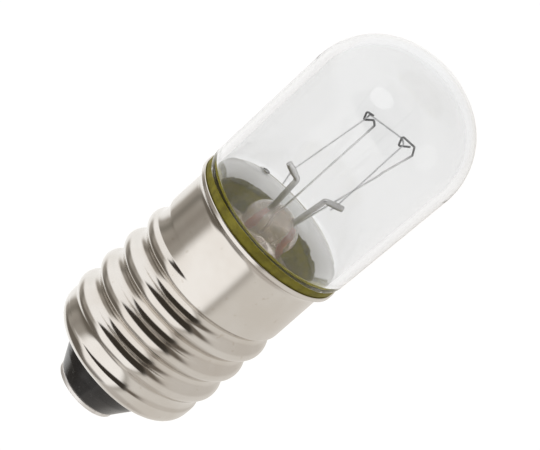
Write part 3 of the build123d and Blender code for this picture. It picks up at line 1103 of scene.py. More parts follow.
    def wall_profile(self, inset: float, step: float) -> np.ndarray:
        """Plain profile of one side of the sheet, from the closed end up to the flare.

        Args:
            inset: Distance inside the outer surface.
            step: Longest run along the straight wall.

        Returns:
            Radii and heights from the throat up.
        """
        radius, corner = self.skirt_radius - inset, self.corner - inset
        bottom = self.levels.shell_bottom + inset
        rounding = arc((radius - corner, bottom + corner), corner, -math.pi / 2, 0, 0.05)
        run = spaced(np.array([(radius, bottom + corner), (radius, self.flare_start)]), step)
        return np.concatenate([rounding, run[1:]])

    def shell(self) -> bpy.types.Object:
        """The rolled sheet: outer side, rim, inner side and throat as one closed grid.

        Returns:
            The shell piece.
        """
        rim_top, wall = self.levels.rim_top, self.levels.wall
        outer = self.wall_profile(0.0, self.fine_step)
        inner = self.wall_profile(wall, self.plain_step)
        outer_flare = self.flare(
            (self.skirt_radius, self.flare_start), (self.rim_radius, rim_top - self.rim_edge))
        inner_flare = self.flare((self.skirt_bore, self.flare_start), (self.mouth, rim_top))
        rim = rounded_path(
            [outer_flare[-1], (self.rim_radius, rim_top), (self.mouth, rim_top)], self.rim_round, 0.04)
        throat = spaced(np.array([
            (self.throat_radius + self.rim_land, self.levels.shell_bottom + wall),
            (self.throat_radius, self.levels.shell_bottom)]), 0.1)
        plain_rim = np.concatenate([outer_flare[1:], rim[1:], inner_flare[::-1][1:-1]])
        outer_points, outer_share = self.rolled(np.concatenate([throat, outer]), 0.0)
        rim_points = turned(plain_rim, self.columns)
        inner_points, inner_share = self.rolled(inner[::-1], wall)
        points = np.concatenate([outer_points, rim_points, inner_points])
        share = np.concatenate([outer_share, np.full(rim_points.shape[:2], self.plain_mark), inner_share])
        return mesh_piece("rolled_shell", Patch(points, Wrap.BOTH, marks=share))

    def insulator(self) -> bpy.types.Object:
        """Black glass: a ring with the tapered foot, its rounded lower edge and the collar inside the shell.

        The foot's radius is uneven by 1 + d e (sin(3 a) + 0.6 sin(7 a)), with e a bell over the foot's
        height.

        Returns:
            The insulator piece.
        """
        low, seat = self.levels.insulator_tip, self.levels.shell_bottom
        collar = self.skirt_bore - self.clearance
        inner_low = seat + self.levels.wall + self.clearance
        bulge = (self.throat_radius - self.tip_radius) * self.flank_share + self.tip_radius + self.flank_bulge
        profile = rounded_ring(
            [(self.rivet_radius, low), (self.tip_radius, low), (bulge, (low + seat) / 2),
             (self.throat_radius + self.seat_offset, seat), (self.throat_radius + self.throat_spread, inner_low),
             (collar - self.collar_slant, inner_low), (collar, self.thread_low),
             (self.rivet_radius, self.thread_low)],
            self.insulator_rounds, self.outline_step)
        radius, height, angle = profile[:, :1], profile[:, 1:], circle(self.insulator_columns)
        bell = np.exp(-((height - low - self.dimple_above) / self.dimple_reach) ** 2)
        uneven = 1 + self.dimple * bell * (np.sin(3 * angle + 0.5) + 0.6 * np.sin(7 * angle))
        return mesh_piece("black_insulator", Patch(around_axis(radius * uneven, angle, height), Wrap.BOTH))

    def contact(self) -> bpy.types.Object:
        """Contact plate with its hollow rivet, all edges rounded.

        Returns:
            The contact piece.
        """
        low, tip = self.levels.contact_low, self.levels.insulator_tip
        bore, top = self.rivet_radius - self.rivet_wall, tip + self.rivet_length
        outside, edge = self.rivet_radius - self.seat_offset, self.rivet_round
        profile = rounded_ring(
            [(bore, low), (self.contact_radius, low), (self.contact_radius, tip),
             (outside, tip), (outside, top), (bore, top)],
            [edge, self.plate_round, self.plate_round, edge, edge, edge], self.contact_step)
        return mesh_piece("contact_plate", Patch(turned(profile, self.contact_columns), Wrap.BOTH))

    def centre_drop(self) -> bpy.types.Object:
        """Dome of solder under the plate, with a soft skirt and a plug up the rivet.

        The dome is a cap of a sphere; its radius wavers with the angle, most at its foot.

        Returns:
            The solder piece.
        """
        foot = self.levels.contact_low
        ball = (self.solder_radius ** 2 + foot ** 2) / (2 * foot)
        reach = math.asin(self.solder_radius / ball)
        dome = arc((0.0, ball), ball, -math.pi / 2, -math.pi / 2 + reach, self.solder_step)
        plug, seat = self.rivet_radius - self.rivet_wall - self.seat_offset, foot + self.seat_offset
        rest = spaced(np.array([
            (self.solder_radius, seat), (plug, seat), (plug, foot + self.solder_plug),
            (0.0, foot + self.solder_plug)]), self.outline_step)
        profile = np.concatenate([dome, rest])
        radius, height, angle = profile[:, :1], profile[:, 1:], circle(self.solder_columns)
        edge = (radius / self.solder_radius) ** 3 * (height < foot + 2 * self.seat_offset)
        slow, quick = self.solder_waver
        uneven = 1 + edge * (slow * np.sin(2 * angle + 1.0) + quick * np.sin(5 * angle))
        return mesh_piece("centre_solder_drop", Patch(around_axis(radius * uneven, angle, height)))

    def side_drop(self) -> bpy.types.Object:
        """Drop of solder on the rim: a ball of uneven radius, flatter across the rim and upwards.

        Returns:
            The solder piece.
        """
        turn = np.radians(self.drop_angle)
        lift = np.linspace(-math.pi / 2, math.pi / 2, self.drop_rows)[:, None]
        angle = circle(self.drop_columns)
        (width, height), (round_axis, upwards) = self.drop_flat, self.drop_waver
        radius = self.drop_radius * (
            1 + round_axis * np.sin(2 * angle + 0.6) * np.cos(lift) + upwards * np.sin(3 * lift))
        out = self.mouth + width * radius * np.cos(lift) * np.cos(angle)
        along = radius * np.cos(lift) * np.sin(angle)
        up = height * radius * np.sin(lift)
        points = np.stack([
            out * np.cos(turn) - along * np.sin(turn), out * np.sin(turn) + along * np.cos(turn),
            self.levels.rim_top + self.drop_rise + up], axis=2)
        return mesh_piece("side_solder_drop", Patch(points))


@dataclass
class GlassBulb:
    """Blown bulb with its dome, shoulder and neck, and the cement that holds it in the shell.

    Attributes:
        levels: Heights read from the frame.
        base: The shell that the cement fills.
        radius: Widest radius of the bulb, at the foot of the dome.
        foot_radius: Radius of the straight side just above the shoulder.
        throat_radius: Radius of the shoulder at the rim's level.
        shoulder_below: Lower end of the shoulder below the rim.
        cement_below: Lower end of the cement below the rim.
        core_rise: Height of the cement under the stem, above the neck's lip.
        bead_above: Top of the bead above the rim on its high side.
        bead_low: The same on its low side.
        bead_half: Degrees from the low side between which most of the bead rises.
        bead_far: Degrees from the low side between which the rest rises.
        bead_share: Share of the bead's rise that is most of it.
        bead_radius: Radius at the bead's bulge.
        bead_waver: Heights of three waves round the bead.
        glass_bite: How far the cement reaches into the glass, so that no air shows between them.
        highlight_below: Heights below the rim between which the painted highlight grows.
        low_side_angle: Middle of the bead's low side, where the painted highlight is, in degrees.
        highlight_half: Degrees from there between which the painted highlight ends and the painted light begins.
    """

    levels: Levels
    base: ScrewBase
    radius: float = 5.1
    foot_radius: float = 4.93
    wall: float = 0.55
    crown_radius: float = 6.2
    crown_corner: float = 4.3
    neck_radius: float = 3.8
    throat_radius: float = 4.39
    shoulder_below: float = 0.85
    lip_round: float = 0.2
    columns: int = 192
    step: float = 0.12
    cement_below: float = 2.95
    core_rise: float = 0.35
    core_radius: float = 2.83
    exhaust_radius: float = 0.6
    bead_above: float = 0.62
    bead_low: float = 0.02
    bead_half: tuple[float, float] = (45.0, 85.0)
    bead_far: tuple[float, float] = (75.0, 180.0)
    bead_share: float = 0.6
    bead_radius: float = 4.86
    bead_waver: tuple[float, float, float] = (0.02, 0.012, 0.008)
    bead_rows: int = 12
    glass_rows: int = 44
    glass_bite: float = 0.02
    highlight_below: tuple[float, float] = (0.8, 0.3)
    low_side_angle: float = 66.0
    highlight_half: tuple[float, float] = (80.0, 110.0)

    def build(self) -> None:
        """Builds and dresses the bulb and its cement."""
        CLEAR_GLASS.dress(self.bulb(), "glass_bulb")
        BASE_CEMENT.dress(self.cement(), "base_cement")

    def shoulder(self, inset: float) -> np.ndarray:
        """S of two arcs, upright at both ends, that meet at the rim's level.

        Both turn by t, with tan(t / 2) = (throat - neck) / rise below the rim. The lower arc's centre lies
        outside the neck and the upper one's inside the foot, so a surface drawn in has a wider and a tighter
        arc.

        Args:
            inset: Distance inside the outer surface.

        Returns:
            Radii and heights from the neck up to the foot of the straight side.
        """
        rim_top = self.levels.rim_top
        turn = 2 * math.atan2(self.throat_radius - self.neck_radius, self.shoulder_below)
        lower = self.shoulder_below / math.sin(turn)
        upper = (self.foot_radius - self.throat_radius) / (1 - math.cos(turn))
        low, high = rim_top - self.shoulder_below, rim_top + upper * math.sin(turn)
        return np.concatenate([
            arc((self.neck_radius + lower, low), lower + inset, math.pi, math.pi - turn, 0.05),
            arc((self.foot_radius - upper, high), upper - inset, -turn, 0, 0.03)[1:]])

    def side(self, inset: float) -> np.ndarray:
        """Profile of the bulb from its neck lip to the top of the dome.

        The straight side widens slowly, then a corner arc and a flatter crown arc close the dome.

        Args:
            inset: Distance inside the outer surface.

        Returns:
            Radii and heights from the lip up to the axis.
        """
        corner, crown = self.crown_corner - inset, self.crown_radius - inset
        crown_centre = self.levels.top - self.crown_radius
        corner_x = self.radius - self.crown_corner
        corner_z = crown_centre + math.sqrt((crown - corner) ** 2 - corner_x ** 2)
        slope = math.atan2(corner_z - crown_centre, corner_x)
        shoulder = self.shoulder(inset)
        neck_foot = (self.neck_radius - inset, self.levels.neck_lip + self.lip_round)
        neck = spaced(np.array([neck_foot, shoulder[0]]), self.step)
        straight = spaced(np.array([shoulder[-1], (corner_x + corner, corner_z)]), self.step)
        return np.concatenate([
            neck[:-1], shoulder, straight[1:-1], arc((corner_x, corner_z), corner, 0, slope, self.step)[:-1],
            arc((0, crown_centre), crown, slope, math.pi / 2, self.step)])

    def bulb(self) -> bpy.types.Object:
        """Closed wall of the bulb: outer side, rounded lip and inner side.

        Returns:
            The bulb piece.
        """
        outer, inner = self.side(0.0), self.side(self.wall)
        outer[-1, 0] = inner[-1, 0] = 0.0
        half = self.wall / 2
        angle = np.linspace(0, -math.pi, 9)[1:-1]
        lip = np.stack([
            self.neck_radius - half + half * np.cos(angle),
            self.levels.neck_lip + self.lip_round + self.lip_round * np.sin(angle)], axis=1)
        profile = np.concatenate([outer[::-1], lip, inner])
        return mesh_piece("blown_bulb", Patch(turned(profile, self.columns)))

    def cement(self) -> bpy.types.Object:
        """Cement: a ring that follows the shell outside and the glass inside, with an uneven bead on top.

        Round the axis the top of the bead falls from its full height to nearly flush on one side. For each
        angle the rows against the glass share the shoulder's length below that top, and the bead's rows run
        straight from the rim to it with a bulge of sin(pi t)^0.7. The marks are 1 for a near-white painted
        highlight on the low side and -1 for brighter, yellower cement against the glass on the other: painted
        light.

        Returns:
            The cement piece.
        """
        base, rim_top = self.base, self.levels.rim_top
        angle = circle(self.columns)[None]
        aside = np.abs((angle - math.radians(self.low_side_angle) + math.pi) % FULL_TURN - math.pi)
        risen = eased(aside, *np.radians(self.bead_half))
        full = self.bead_share * risen + (1 - self.bead_share) * eased(aside, *np.radians(self.bead_far))
        low = rim_top - self.cement_below
        flare = base.flare((base.skirt_bore, base.flare_start), (base.mouth, rim_top))
        outside = np.concatenate([spaced(np.array([(base.skirt_bore, low), flare[0]]), 0.15)[1:-1], flare])

        shoulder = self.shoulder(self.glass_bite)
        length = run_lengths(shoulder)
        heights = rim_top + self.bead_low + (self.bead_above - self.bead_low) * full
        share = np.linspace(1, 0, self.glass_rows)[:, None]
        along = share * np.interp(heights, shoulder[:, 1], length)
        glass = np.stack([np.interp(along, length, shoulder[:, k]) for k in range(2)], axis=2)

        share = np.linspace(0, 1, self.bead_rows + 2)[1:-1, None]
        bead = outside[-1] + (glass[:1] - outside[-1]) * share[..., None]
        arch = np.sin(np.pi * share)
        bead[..., 0] += (self.bead_radius - base.mouth) * arch ** 0.7 * full
        slow, middle, quick = self.bead_waver
        bead[..., 1] += arch * (
            slow * np.sin(3 * angle + 0.3) + middle * np.sin(11 * angle) + quick * np.sin(23 * angle))

        neck, lip = self.neck_radius - self.glass_bite, self.levels.neck_lip
        core = lip + self.core_rise
        inside = spaced(np.array([
            (neck, lip - 0.01), (self.core_radius, lip - 0.01), (self.core_radius - 0.5, core),
            (self.exhaust_radius, core), (self.exhaust_radius, low), (base.skirt_bore, low)]), 0.15)
        rows = [np.broadcast_to(part[:, None], (len(part), self.columns, 2)) for part in (outside, inside)]
        section = np.concatenate([rows[0], bead, glass, rows[1]])
        points = around_axis(section[..., 0], angle, section[..., 1])

        # Painted light: brighter cement against the glass away from the low side; a painted highlight on the low
        # side.
        lit_olive = eased(aside, *np.radians(self.highlight_half))
        painted_highlight = eased(glass[..., 1], *(rim_top - below for below in self.highlight_below)) * (1 - lit_olive)
        marks = np.zeros(section.shape[:2])
        first = len(outside) + len(bead)
        # Painted highlight on the bead's low side.
        marks[len(outside):first] = 1 - risen
        marks[first:first + len(glass)] = painted_highlight - (1 - painted_highlight) * (0.5 + 0.5 * lit_olive)
        return mesh_piece("cement_ring", Patch(points, Wrap.BOTH, marks=marks))


@dataclass
class Stem:
    """Glass stem: flare sealed in the neck, flattened press and exhaust tube with its bore.

    Attributes:
        levels: Heights read from the frame.
        lip_radius: Outer radius of the flare, sealed into the neck.
        lip_height: Height of the seal.
        lip_bevel: Width and height of the bevel at its foot.
        flare_slope: Rise of the flare for each step inwards, at its lip.
        waist_radius: Radius of the stem below the press.
        waist_below: Height of the waist below the rim.
        press_half: Half the thickness that the press is pinched to.
        press_round: Rounding of the pinched sides.
        press_start: Heights below and above the waist between which the pinch eases in.
        widest_above: Height of the press's widest place above the rim.
        hollow_below: Top of the hollow under the press, below the rim.
        tube_radius: Outer radius of the exhaust tube.
        ripple: Unevenness of the press, as a share of its radius.
        rows: Points along the press's top and side and along the flare's outer and inner side.
    """

    levels: Levels
    lip_radius: float = 3.24
    lip_height: float = 0.35
    lip_bevel: Point = (0.06, 0.05)
    flare_wall: float = 0.42
    flare_slope: float = 0.25
    waist_radius: float = 1.5
    waist_below: float = 0.6
    press_radius: float = 1.62
    press_half: float = 1.15
    press_round: float = 0.5
    press_start: tuple[float, float] = (0.3, 0.4)
    ripple: float = 0.02
    widest_above: float = 0.06
    hollow_below: float = 1.3
    hollow_radius: float = 1.32
    tube_radius: float = 0.6
    bore_radius: float = 0.3
    columns: int = 144
    bore_columns: int = 48
    rows: tuple[int, int, int, int] = (30, 10, 22, 20)
    hollow_step: float = 0.1
    tube_step: float = 0.2
    bore_step: float = 0.05

    def build(self) -> None:
        """Builds and dresses the stem."""
        STEM_GLASS.dress(self.glass(), "glass_stem")

    @staticmethod
    def bent(start: Point, end: Point, leave: Point, arrive: Point, count: int) -> np.ndarray:
        """Cubic curve between two points with given end directions, each as long as the chord.

        The curve is h00 P0 + h10 D0 + h01 P1 + h11 D1 with the usual cubic Hermite weights.

        Args:
            start: First point.
            end: Last point.
            leave: Direction at the start.
            arrive: Direction at the end.
            count: Number of points.

        Returns:
            Points along the curve.
        """
        t = np.linspace(0, 1, count)[:, None]
        first, last = np.array(start), np.array(end)
        chord = np.linalg.norm(last - first)
        d0 = np.array(leave) / np.linalg.norm(leave) * chord
        d1 = np.array(arrive) / np.linalg.norm(arrive) * chord
        return ((2 * t ** 3 - 3 * t ** 2 + 1) * first + (t ** 3 - 2 * t ** 2 + t) * d0
                + (3 * t ** 2 - 2 * t ** 3) * last + (t ** 3 - t ** 2) * d1)

    def glass(self) -> bpy.types.Object:
        """Closed outer surface of the stem, pinched flat at the press, and the bore as a hollow inside it.

        Above the waist the pinch eases in: each point's depth along Y goes to the smaller of itself and half
        the press. The radius there is uneven by 1 + k sin(4 a) sin(pi h), with h from the waist to the top.

        Returns:
            The stem piece.
        """
        rim_top, lip = self.levels.rim_top, self.levels.neck_lip
        waist, widest = rim_top - self.waist_below, rim_top + self.widest_above
        hollow, top = rim_top - self.hollow_below, self.levels.stem_top
        tip = self.levels.exhaust_tip
        bevel_width, bevel_height = self.lip_bevel
        on_top, on_side, on_flare, under_flare = self.rows
        profile = np.concatenate([
            self.bent((0.0, top), (self.press_radius, widest), (1, 0), (0, -1), on_top),
            self.bent((self.press_radius, widest), (self.waist_radius, waist), (0, -1), (0, -1), on_side)[1:],
            self.bent((self.waist_radius, waist), (self.lip_radius, lip + self.lip_height), (0, -1),
                      (1, -self.flare_slope), on_flare)[1:],
            [(self.lip_radius, lip + bevel_height), (self.lip_radius - bevel_width, lip)],
            self.bent((self.lip_radius - self.flare_wall, lip), (self.hollow_radius, hollow),
                      (-1, self.flare_slope), (0, 1), under_flare),
            spaced(np.array([(self.hollow_radius, hollow), (self.tube_radius, hollow)]),
                   self.hollow_step)[1:],
            spaced(np.array([(self.tube_radius, hollow), (self.tube_radius, tip + self.tube_radius)]),
                   self.tube_step)[1:],
            arc((0.0, tip + self.tube_radius), self.tube_radius, 0, -math.pi / 2, self.hollow_step)[1:]])
        profile[0, 0] = profile[-1, 0] = 0.0
        points = turned(profile, self.columns)
        below, above = self.press_start
        pressed = eased(points[..., 2], waist - below, waist + above)
        depth = np.abs(points[..., 1])
        flat = np.sign(points[..., 1]) * soft_min(
            depth, np.full_like(depth, self.press_half), self.press_round)
        points[..., 1] += pressed * (np.where(depth > 1e-9, flat, points[..., 1]) - points[..., 1])
        angle = np.arctan2(points[..., 1], points[..., 0])
        rise = np.clip((points[..., 2] - waist) / (top - waist), 0, 1)
        uneven = 1 + pressed * self.ripple * np.sin(4 * angle + 0.8) * np.sin(np.pi * rise)
        points[..., :2] *= uneven[..., None]
        bore_low, bore_top = tip + 2 * self.bore_radius, hollow + 2 * self.bore_radius
        bore = np.concatenate([
            arc((0.0, bore_low + self.bore_radius), self.bore_radius, -math.pi / 2, 0, self.bore_step),
            arc((0.0, bore_top - self.bore_radius), self.bore_radius, 0, math.pi / 2, self.bore_step)])
        bore[0, 0] = bore[-1, 0] = 0.0
        return mesh_piece("pressed_stem", Patch(points), Patch(turned(bore, self.bore_columns), hollow=True))


@dataclass
class WireMount:
    """Leads, seals, supports and filament.

    Places are (x, height above the rim). The leads stand before the middle plane of the press and the
    supports behind it.

    Attributes:
        levels: Heights read from the frame.
        bulb: The bulb that the mount stands in.
        lead_offset: Place of the leads along Y.
        support_offset: Place of the supports along Y.
        filament_front: Where the filament enters the loops, along Y.
        filament_back: Where it runs between them.
        seal_above: Upper end of the seals above the rim.
        seal_below: Lower end of the seals below the rim.
        straight_run: Run of a lead in line with its seal.
        coil_radius: From the filament's line to the middle of its wire.
        coil_wire: Radius of the filament's wire.
        right_seal_x: Lower and upper end of the slanted right seal.
        left_clamp: Share of the left hook, from knee to end, where the filament lies.
        right_clamp: The same on the right.
        left_support: Foot, shaft and open loop of the left support.
        right_support: The same on the right.
        left_top: Where the filament passes the left loop.
        right_top: Where it passes the right loop.
        top_step: Its run through a loop.
        left_tail: Free end of the filament, from the left clamp.
        right_tail: Free end of the filament, from the right clamp.
        pinch: Share by which a clamp widens its lead and the share by which it thins it.
        pinch_reach: Distance from a clamp at which the pinch fades.
        side_below: The side lead's run under the neck, below the rim.
        side_rise: Where it leaves the gap beside the neck, below the rim.
        side_throat: Radius and height above the rim where it passes between glass and rim.
        side_end: Radius and height above the rim where it ends.
        centre_drop: Where the centre lead leaves the line of its seal, below the rim.
        centre_join: Where it reaches the axis, below the rim.
        facing: Direction that the round sections lean to.
        coil_facing: The same for the coil.
        support_steps: Distance of points along a support's straight runs and along its bends.
        filament_steps: The same for the filament's line.
    """

    levels: Levels
    bulb: GlassBulb
    lead_offset: float = -0.25
    support_offset: float = 0.1
    filament_front: float = -0.08
    filament_back: float = 0.28
    seal_above: float = 0.85
    seal_below: float = 1.15
    straight_run: float = 0.4
    lead_radius: float = 0.165
    seal_radius: float = 0.15
    outer_radius: float = 0.075
    support_radius: float = 0.06
    coil_radius: float = 0.039
    coil_wire: float = 0.011
    coil_pitch: float = 0.046
    coil_points: int = 14
    lead_bend: float = 0.2
    support_bend: float = 0.09
    filament_bend: float = 0.1
    side_bend: float = 0.3
    centre_bend: float = 0.35
    pinch: tuple[float, float] = (0.22, 0.2)
    pinch_reach: float = 0.35
    left_seal_x: float = -0.93
    right_seal_x: tuple[float, float] = (1.09, 0.7)
    left_knee: Point = (-1.15, 3.22)
    left_end: Point = (-2.14, 3.63)
    left_clamp: float = 0.6
    right_knee: Point = (0.86, 3.27)
    right_end: Point = (1.91, 3.53)
    right_clamp: float = 0.62
    left_support: Sequence[Point] = (
        (-0.29, -0.5), (-0.38, 8.16), (-0.64, 8.39), (-1.05, 8.02), (-1.28, 8.51), (-0.84, 8.56))
    right_support: Sequence[Point] = (
        (0.59, -0.65), (2.38, 8.22), (2.08, 8.69), (1.14, 8.73), (1.40, 8.15), (1.92, 8.54))
    left_top: Point = (-1.02, 8.33)
    right_top: Point = (1.48, 8.47)
    top_step: float = 0.14
    left_tail: Point = (0.25, -0.98)
    right_tail: Point = (-0.06, -0.4)
    side_below: float = 2.6
    side_rise: float = 0.95
    side_throat: Point = (4.244, -0.3)
    side_end: Point = (4.87, 0.2)
    centre_drop: float = 7.0
    centre_join: float = 9.6
    facing: np.ndarray = field(default_factory=lambda: np.array([0.0, 1.0, 0.0]))
    coil_facing: np.ndarray = field(default_factory=lambda: np.array([0.3, 1.0, 0.1]))
    seal_sides: int = 24
    support_sides: int = 16
    lead_sides: int = 28
    outer_sides: int = 16
    coil_sides: int = 6
    seal_step: float = 0.1
    support_steps: tuple[float, float] = (0.1, 0.015)
    lead_step: float = 0.06
    side_step: float = 0.12
    centre_step: float = 0.15
    filament_steps: tuple[float, float] = (0.02, 0.01)

    def at(self, place: Point, offset: float) -> np.ndarray:
        """Point of the mount from its x, its height above the rim and its distance along Y."""
        return np.array([place[0], offset, self.levels.rim_top + place[1]])

    def build(self) -> None:
        """Builds and dresses every wire."""
        low_left = self.at((self.left_seal_x, -self.seal_below), self.lead_offset)
        high_left = self.at((self.left_seal_x, self.seal_above), self.lead_offset)
        low_right = self.at((self.right_seal_x[0], -self.seal_below), self.lead_offset)
        high_right = self.at((self.right_seal_x[1], self.seal_above), self.lead_offset)
        self.inner_lead("left", low_left, high_left, self.left_knee, self.left_end, self.left_clamp)
        self.inner_lead("right", low_right, high_right, self.right_knee, self.right_end, self.right_clamp)
        for side, low, high in (("left", low_left, high_left), ("right", low_right, high_right)):
            path = spaced(np.array([low, high]), self.seal_step)
            grid = tube(path, self.seal_radius, self.seal_sides, self.facing)
            COPPER_SEAL.dress(mesh_piece(f"seal_sleeve_{side}", Patch(grid)), f"seal_wire_{side}")
        self.side_lead(low_left)
        self.centre_lead(low_right, high_right)
        for side, places in (("left", self.left_support), ("right", self.right_support)):
            path = rounded_path(
                [self.at(place, self.support_offset) for place in places], self.support_bend,
                *self.support_steps)
            grid = tube(path, self.support_radius, self.support_sides, self.facing)
            SUPPORT_WIRE.dress(mesh_piece(f"support_hook_{side}", Patch(grid)), f"support_{side}")
        FILAMENT_WIRE.dress(self.filament(), "filament")

    def inner_lead(self, side: str, low: np.ndarray, high: np.ndarray, knee: Point, end: Point,
                   clamp: float) -> None:
        """One inner lead: round from its seal to the knee, pinched flat where it grips the filament.

        The half widths change with the distance from the clamp as 1 + w e and 1 - t e, with w and t the pinch
        and e = exp(-(distance / reach)^2).

        Args:
            side: "left" or "right".
            low: Lower end of its seal.
            high: Upper end of its seal.
            knee: Place of the bend.
            end: Place of the hooked end.
            clamp: Share of the hook, from knee to end, where the filament lies.
        """
        run = high + (high - low) * self.straight_run / (self.seal_above + self.seal_below)
        last = self.at(end, self.lead_offset)
        bend = self.at(knee, self.lead_offset)
        path = rounded_path([high, run, bend, last], self.lead_bend, self.lead_step)
        grip = bend + clamp * (last - bend)
        near = np.exp(-(np.linalg.norm(path - grip, axis=1) / self.pinch_reach) ** 2)
        widened, thinned = self.pinch
        grid = tube(path, self.lead_radius * (1 - thinned * near), self.lead_sides, self.facing,
                    self.lead_radius * (1 + widened * near))
        NICKEL_WIRE.dress(mesh_piece(f"hooked_lead_{side}", Patch(grid)), f"inner_lead_{side}")

    def side_lead(self, start: np.ndarray) -> None:
        """Outer lead that runs under the neck and up through the cement to the rim.

        Args:
            start: Lower end of the left seal.
        """
        turn = np.radians(self.bulb.base.drop_angle)
        out = np.array([np.cos(turn), np.sin(turn), 0.0])
        up = np.array([0.0, 0.0, 1.0])
        rim = self.levels.rim_top
        low = rim - self.side_below
        gap = out * (self.bulb.neck_radius + self.bulb.base.skirt_bore) / 2
        throat, end = (out * reach + up * (rim + above) for reach, above in (self.side_throat, self.side_end))
        path = rounded_path(
            [start, (start[0], start[1], low), gap + up * low, gap + up * (rim - self.side_rise),
             throat, end],
            self.side_bend, self.side_step)
        grid = tube(path, self.outer_radius, self.outer_sides, np.array([1.0, 0.0, 0.0]))
        TINNED_LEAD.dress(mesh_piece("side_lead_wire", Patch(grid)), "side_lead")

    def centre_lead(self, low: np.ndarray, high: np.ndarray) -> None:
        """Outer lead that runs past the exhaust tube to the rivet on the axis.

        Args:
            low: Lower end of the right seal.
            high: Upper end of the right seal.
        """
        run = low - (high - low) * self.straight_run / (self.seal_above + self.seal_below)
        rim = self.levels.rim_top
        path = rounded_path(
            [low, run, (run[0], run[1], rim - self.centre_drop), (0, 0, rim - self.centre_join),
             (0, 0, self.levels.contact_low / 2)], self.centre_bend, self.centre_step)
        grid = tube(path, self.outer_radius, self.outer_sides, self.facing)
        TINNED_LEAD.dress(mesh_piece("centre_lead_wire", Patch(grid)), "centre_lead")

    def filament_path(self) -> np.ndarray:
        """Centre line of the filament: tail, clamp, through both loops, clamp and tail.

        Returns:
            Points along the line.
        """
        clamps = []
        for knee, end, share in (
                (self.left_knee, self.left_end, self.left_clamp),
                (self.right_knee, self.right_end, self.right_clamp)):
            bend = self.at(knee, self.lead_offset)
            clamps.append(bend + share * (self.at(end, self.lead_offset) - bend))
        left, right = clamps
        (left_x, left_z), (right_x, right_z), step = self.left_top, self.right_top, self.top_step
        return rounded_path([
            left + np.array([self.left_tail[0], 0.0, self.left_tail[1]]), left,
            self.at((left_x - step / 2, left_z), self.filament_front),
            self.at((left_x + step / 2, left_z + step / 2), self.filament_back),
            self.at((right_x - step, right_z + step / 2), self.filament_back),
            self.at((right_x, right_z), self.filament_front), right,
            right + np.array([self.right_tail[0], 0.0, self.right_tail[1]])], self.filament_bend,
            *self.filament_steps)

    def filament(self) -> bpy.types.Object:
        """Coiled filament: a helix about the filament's line, itself a thin round wire.

        With s the distance along the line, the coil's centre is
        line + a (cos(2 pi s / p) N + sin(2 pi s / p) B).

        Returns:
            The filament piece.
        """
        line = self.filament_path()
        length = run_lengths(line)
        s = np.linspace(0, length[-1], int(length[-1] / self.coil_pitch * self.coil_points))
        centre = np.stack([np.interp(s, length, line[:, k]) for k in range(3)], axis=1)
        normal, across = section_axes(centre, self.coil_facing)
        angle = (FULL_TURN * s / self.coil_pitch)[:, None]
        out = np.cos(angle) * normal + np.sin(angle) * across
        grid = tube(centre + self.coil_radius * out, self.coil_wire, self.coil_sides, out)
        return mesh_piece("coiled_filament", Patch(grid))


# Studio


@dataclass(frozen=True)
class Window:
    """A soft-edged field of the directions about the lamp.

    Attributes:
        azimuth: Middle, in degrees from the camera's side, positive to the right.
        half_width: Half its width in degrees.
        low: Lower edge, in degrees above the horizon.
        high: Upper edge at its middle, in degrees above the horizon.
        softness: Half the width of its soft edges in degrees.
        rise: Degrees that its upper edge rises for each degree to the right.
    """

    azimuth: float
    half_width: float
    low: float
    high: float
    softness: float = 6.0
    rise: float = 0.0


@dataclass(frozen=True)
class Lamp:
    """A broad round lamp.

    Attributes:
        name: Name of the lamp.
        place: Where it hangs, in metres.
        size: Diameter in metres.
        power: Power in watts.
    """

    name: str
    place: Point
    size: float
    power: float


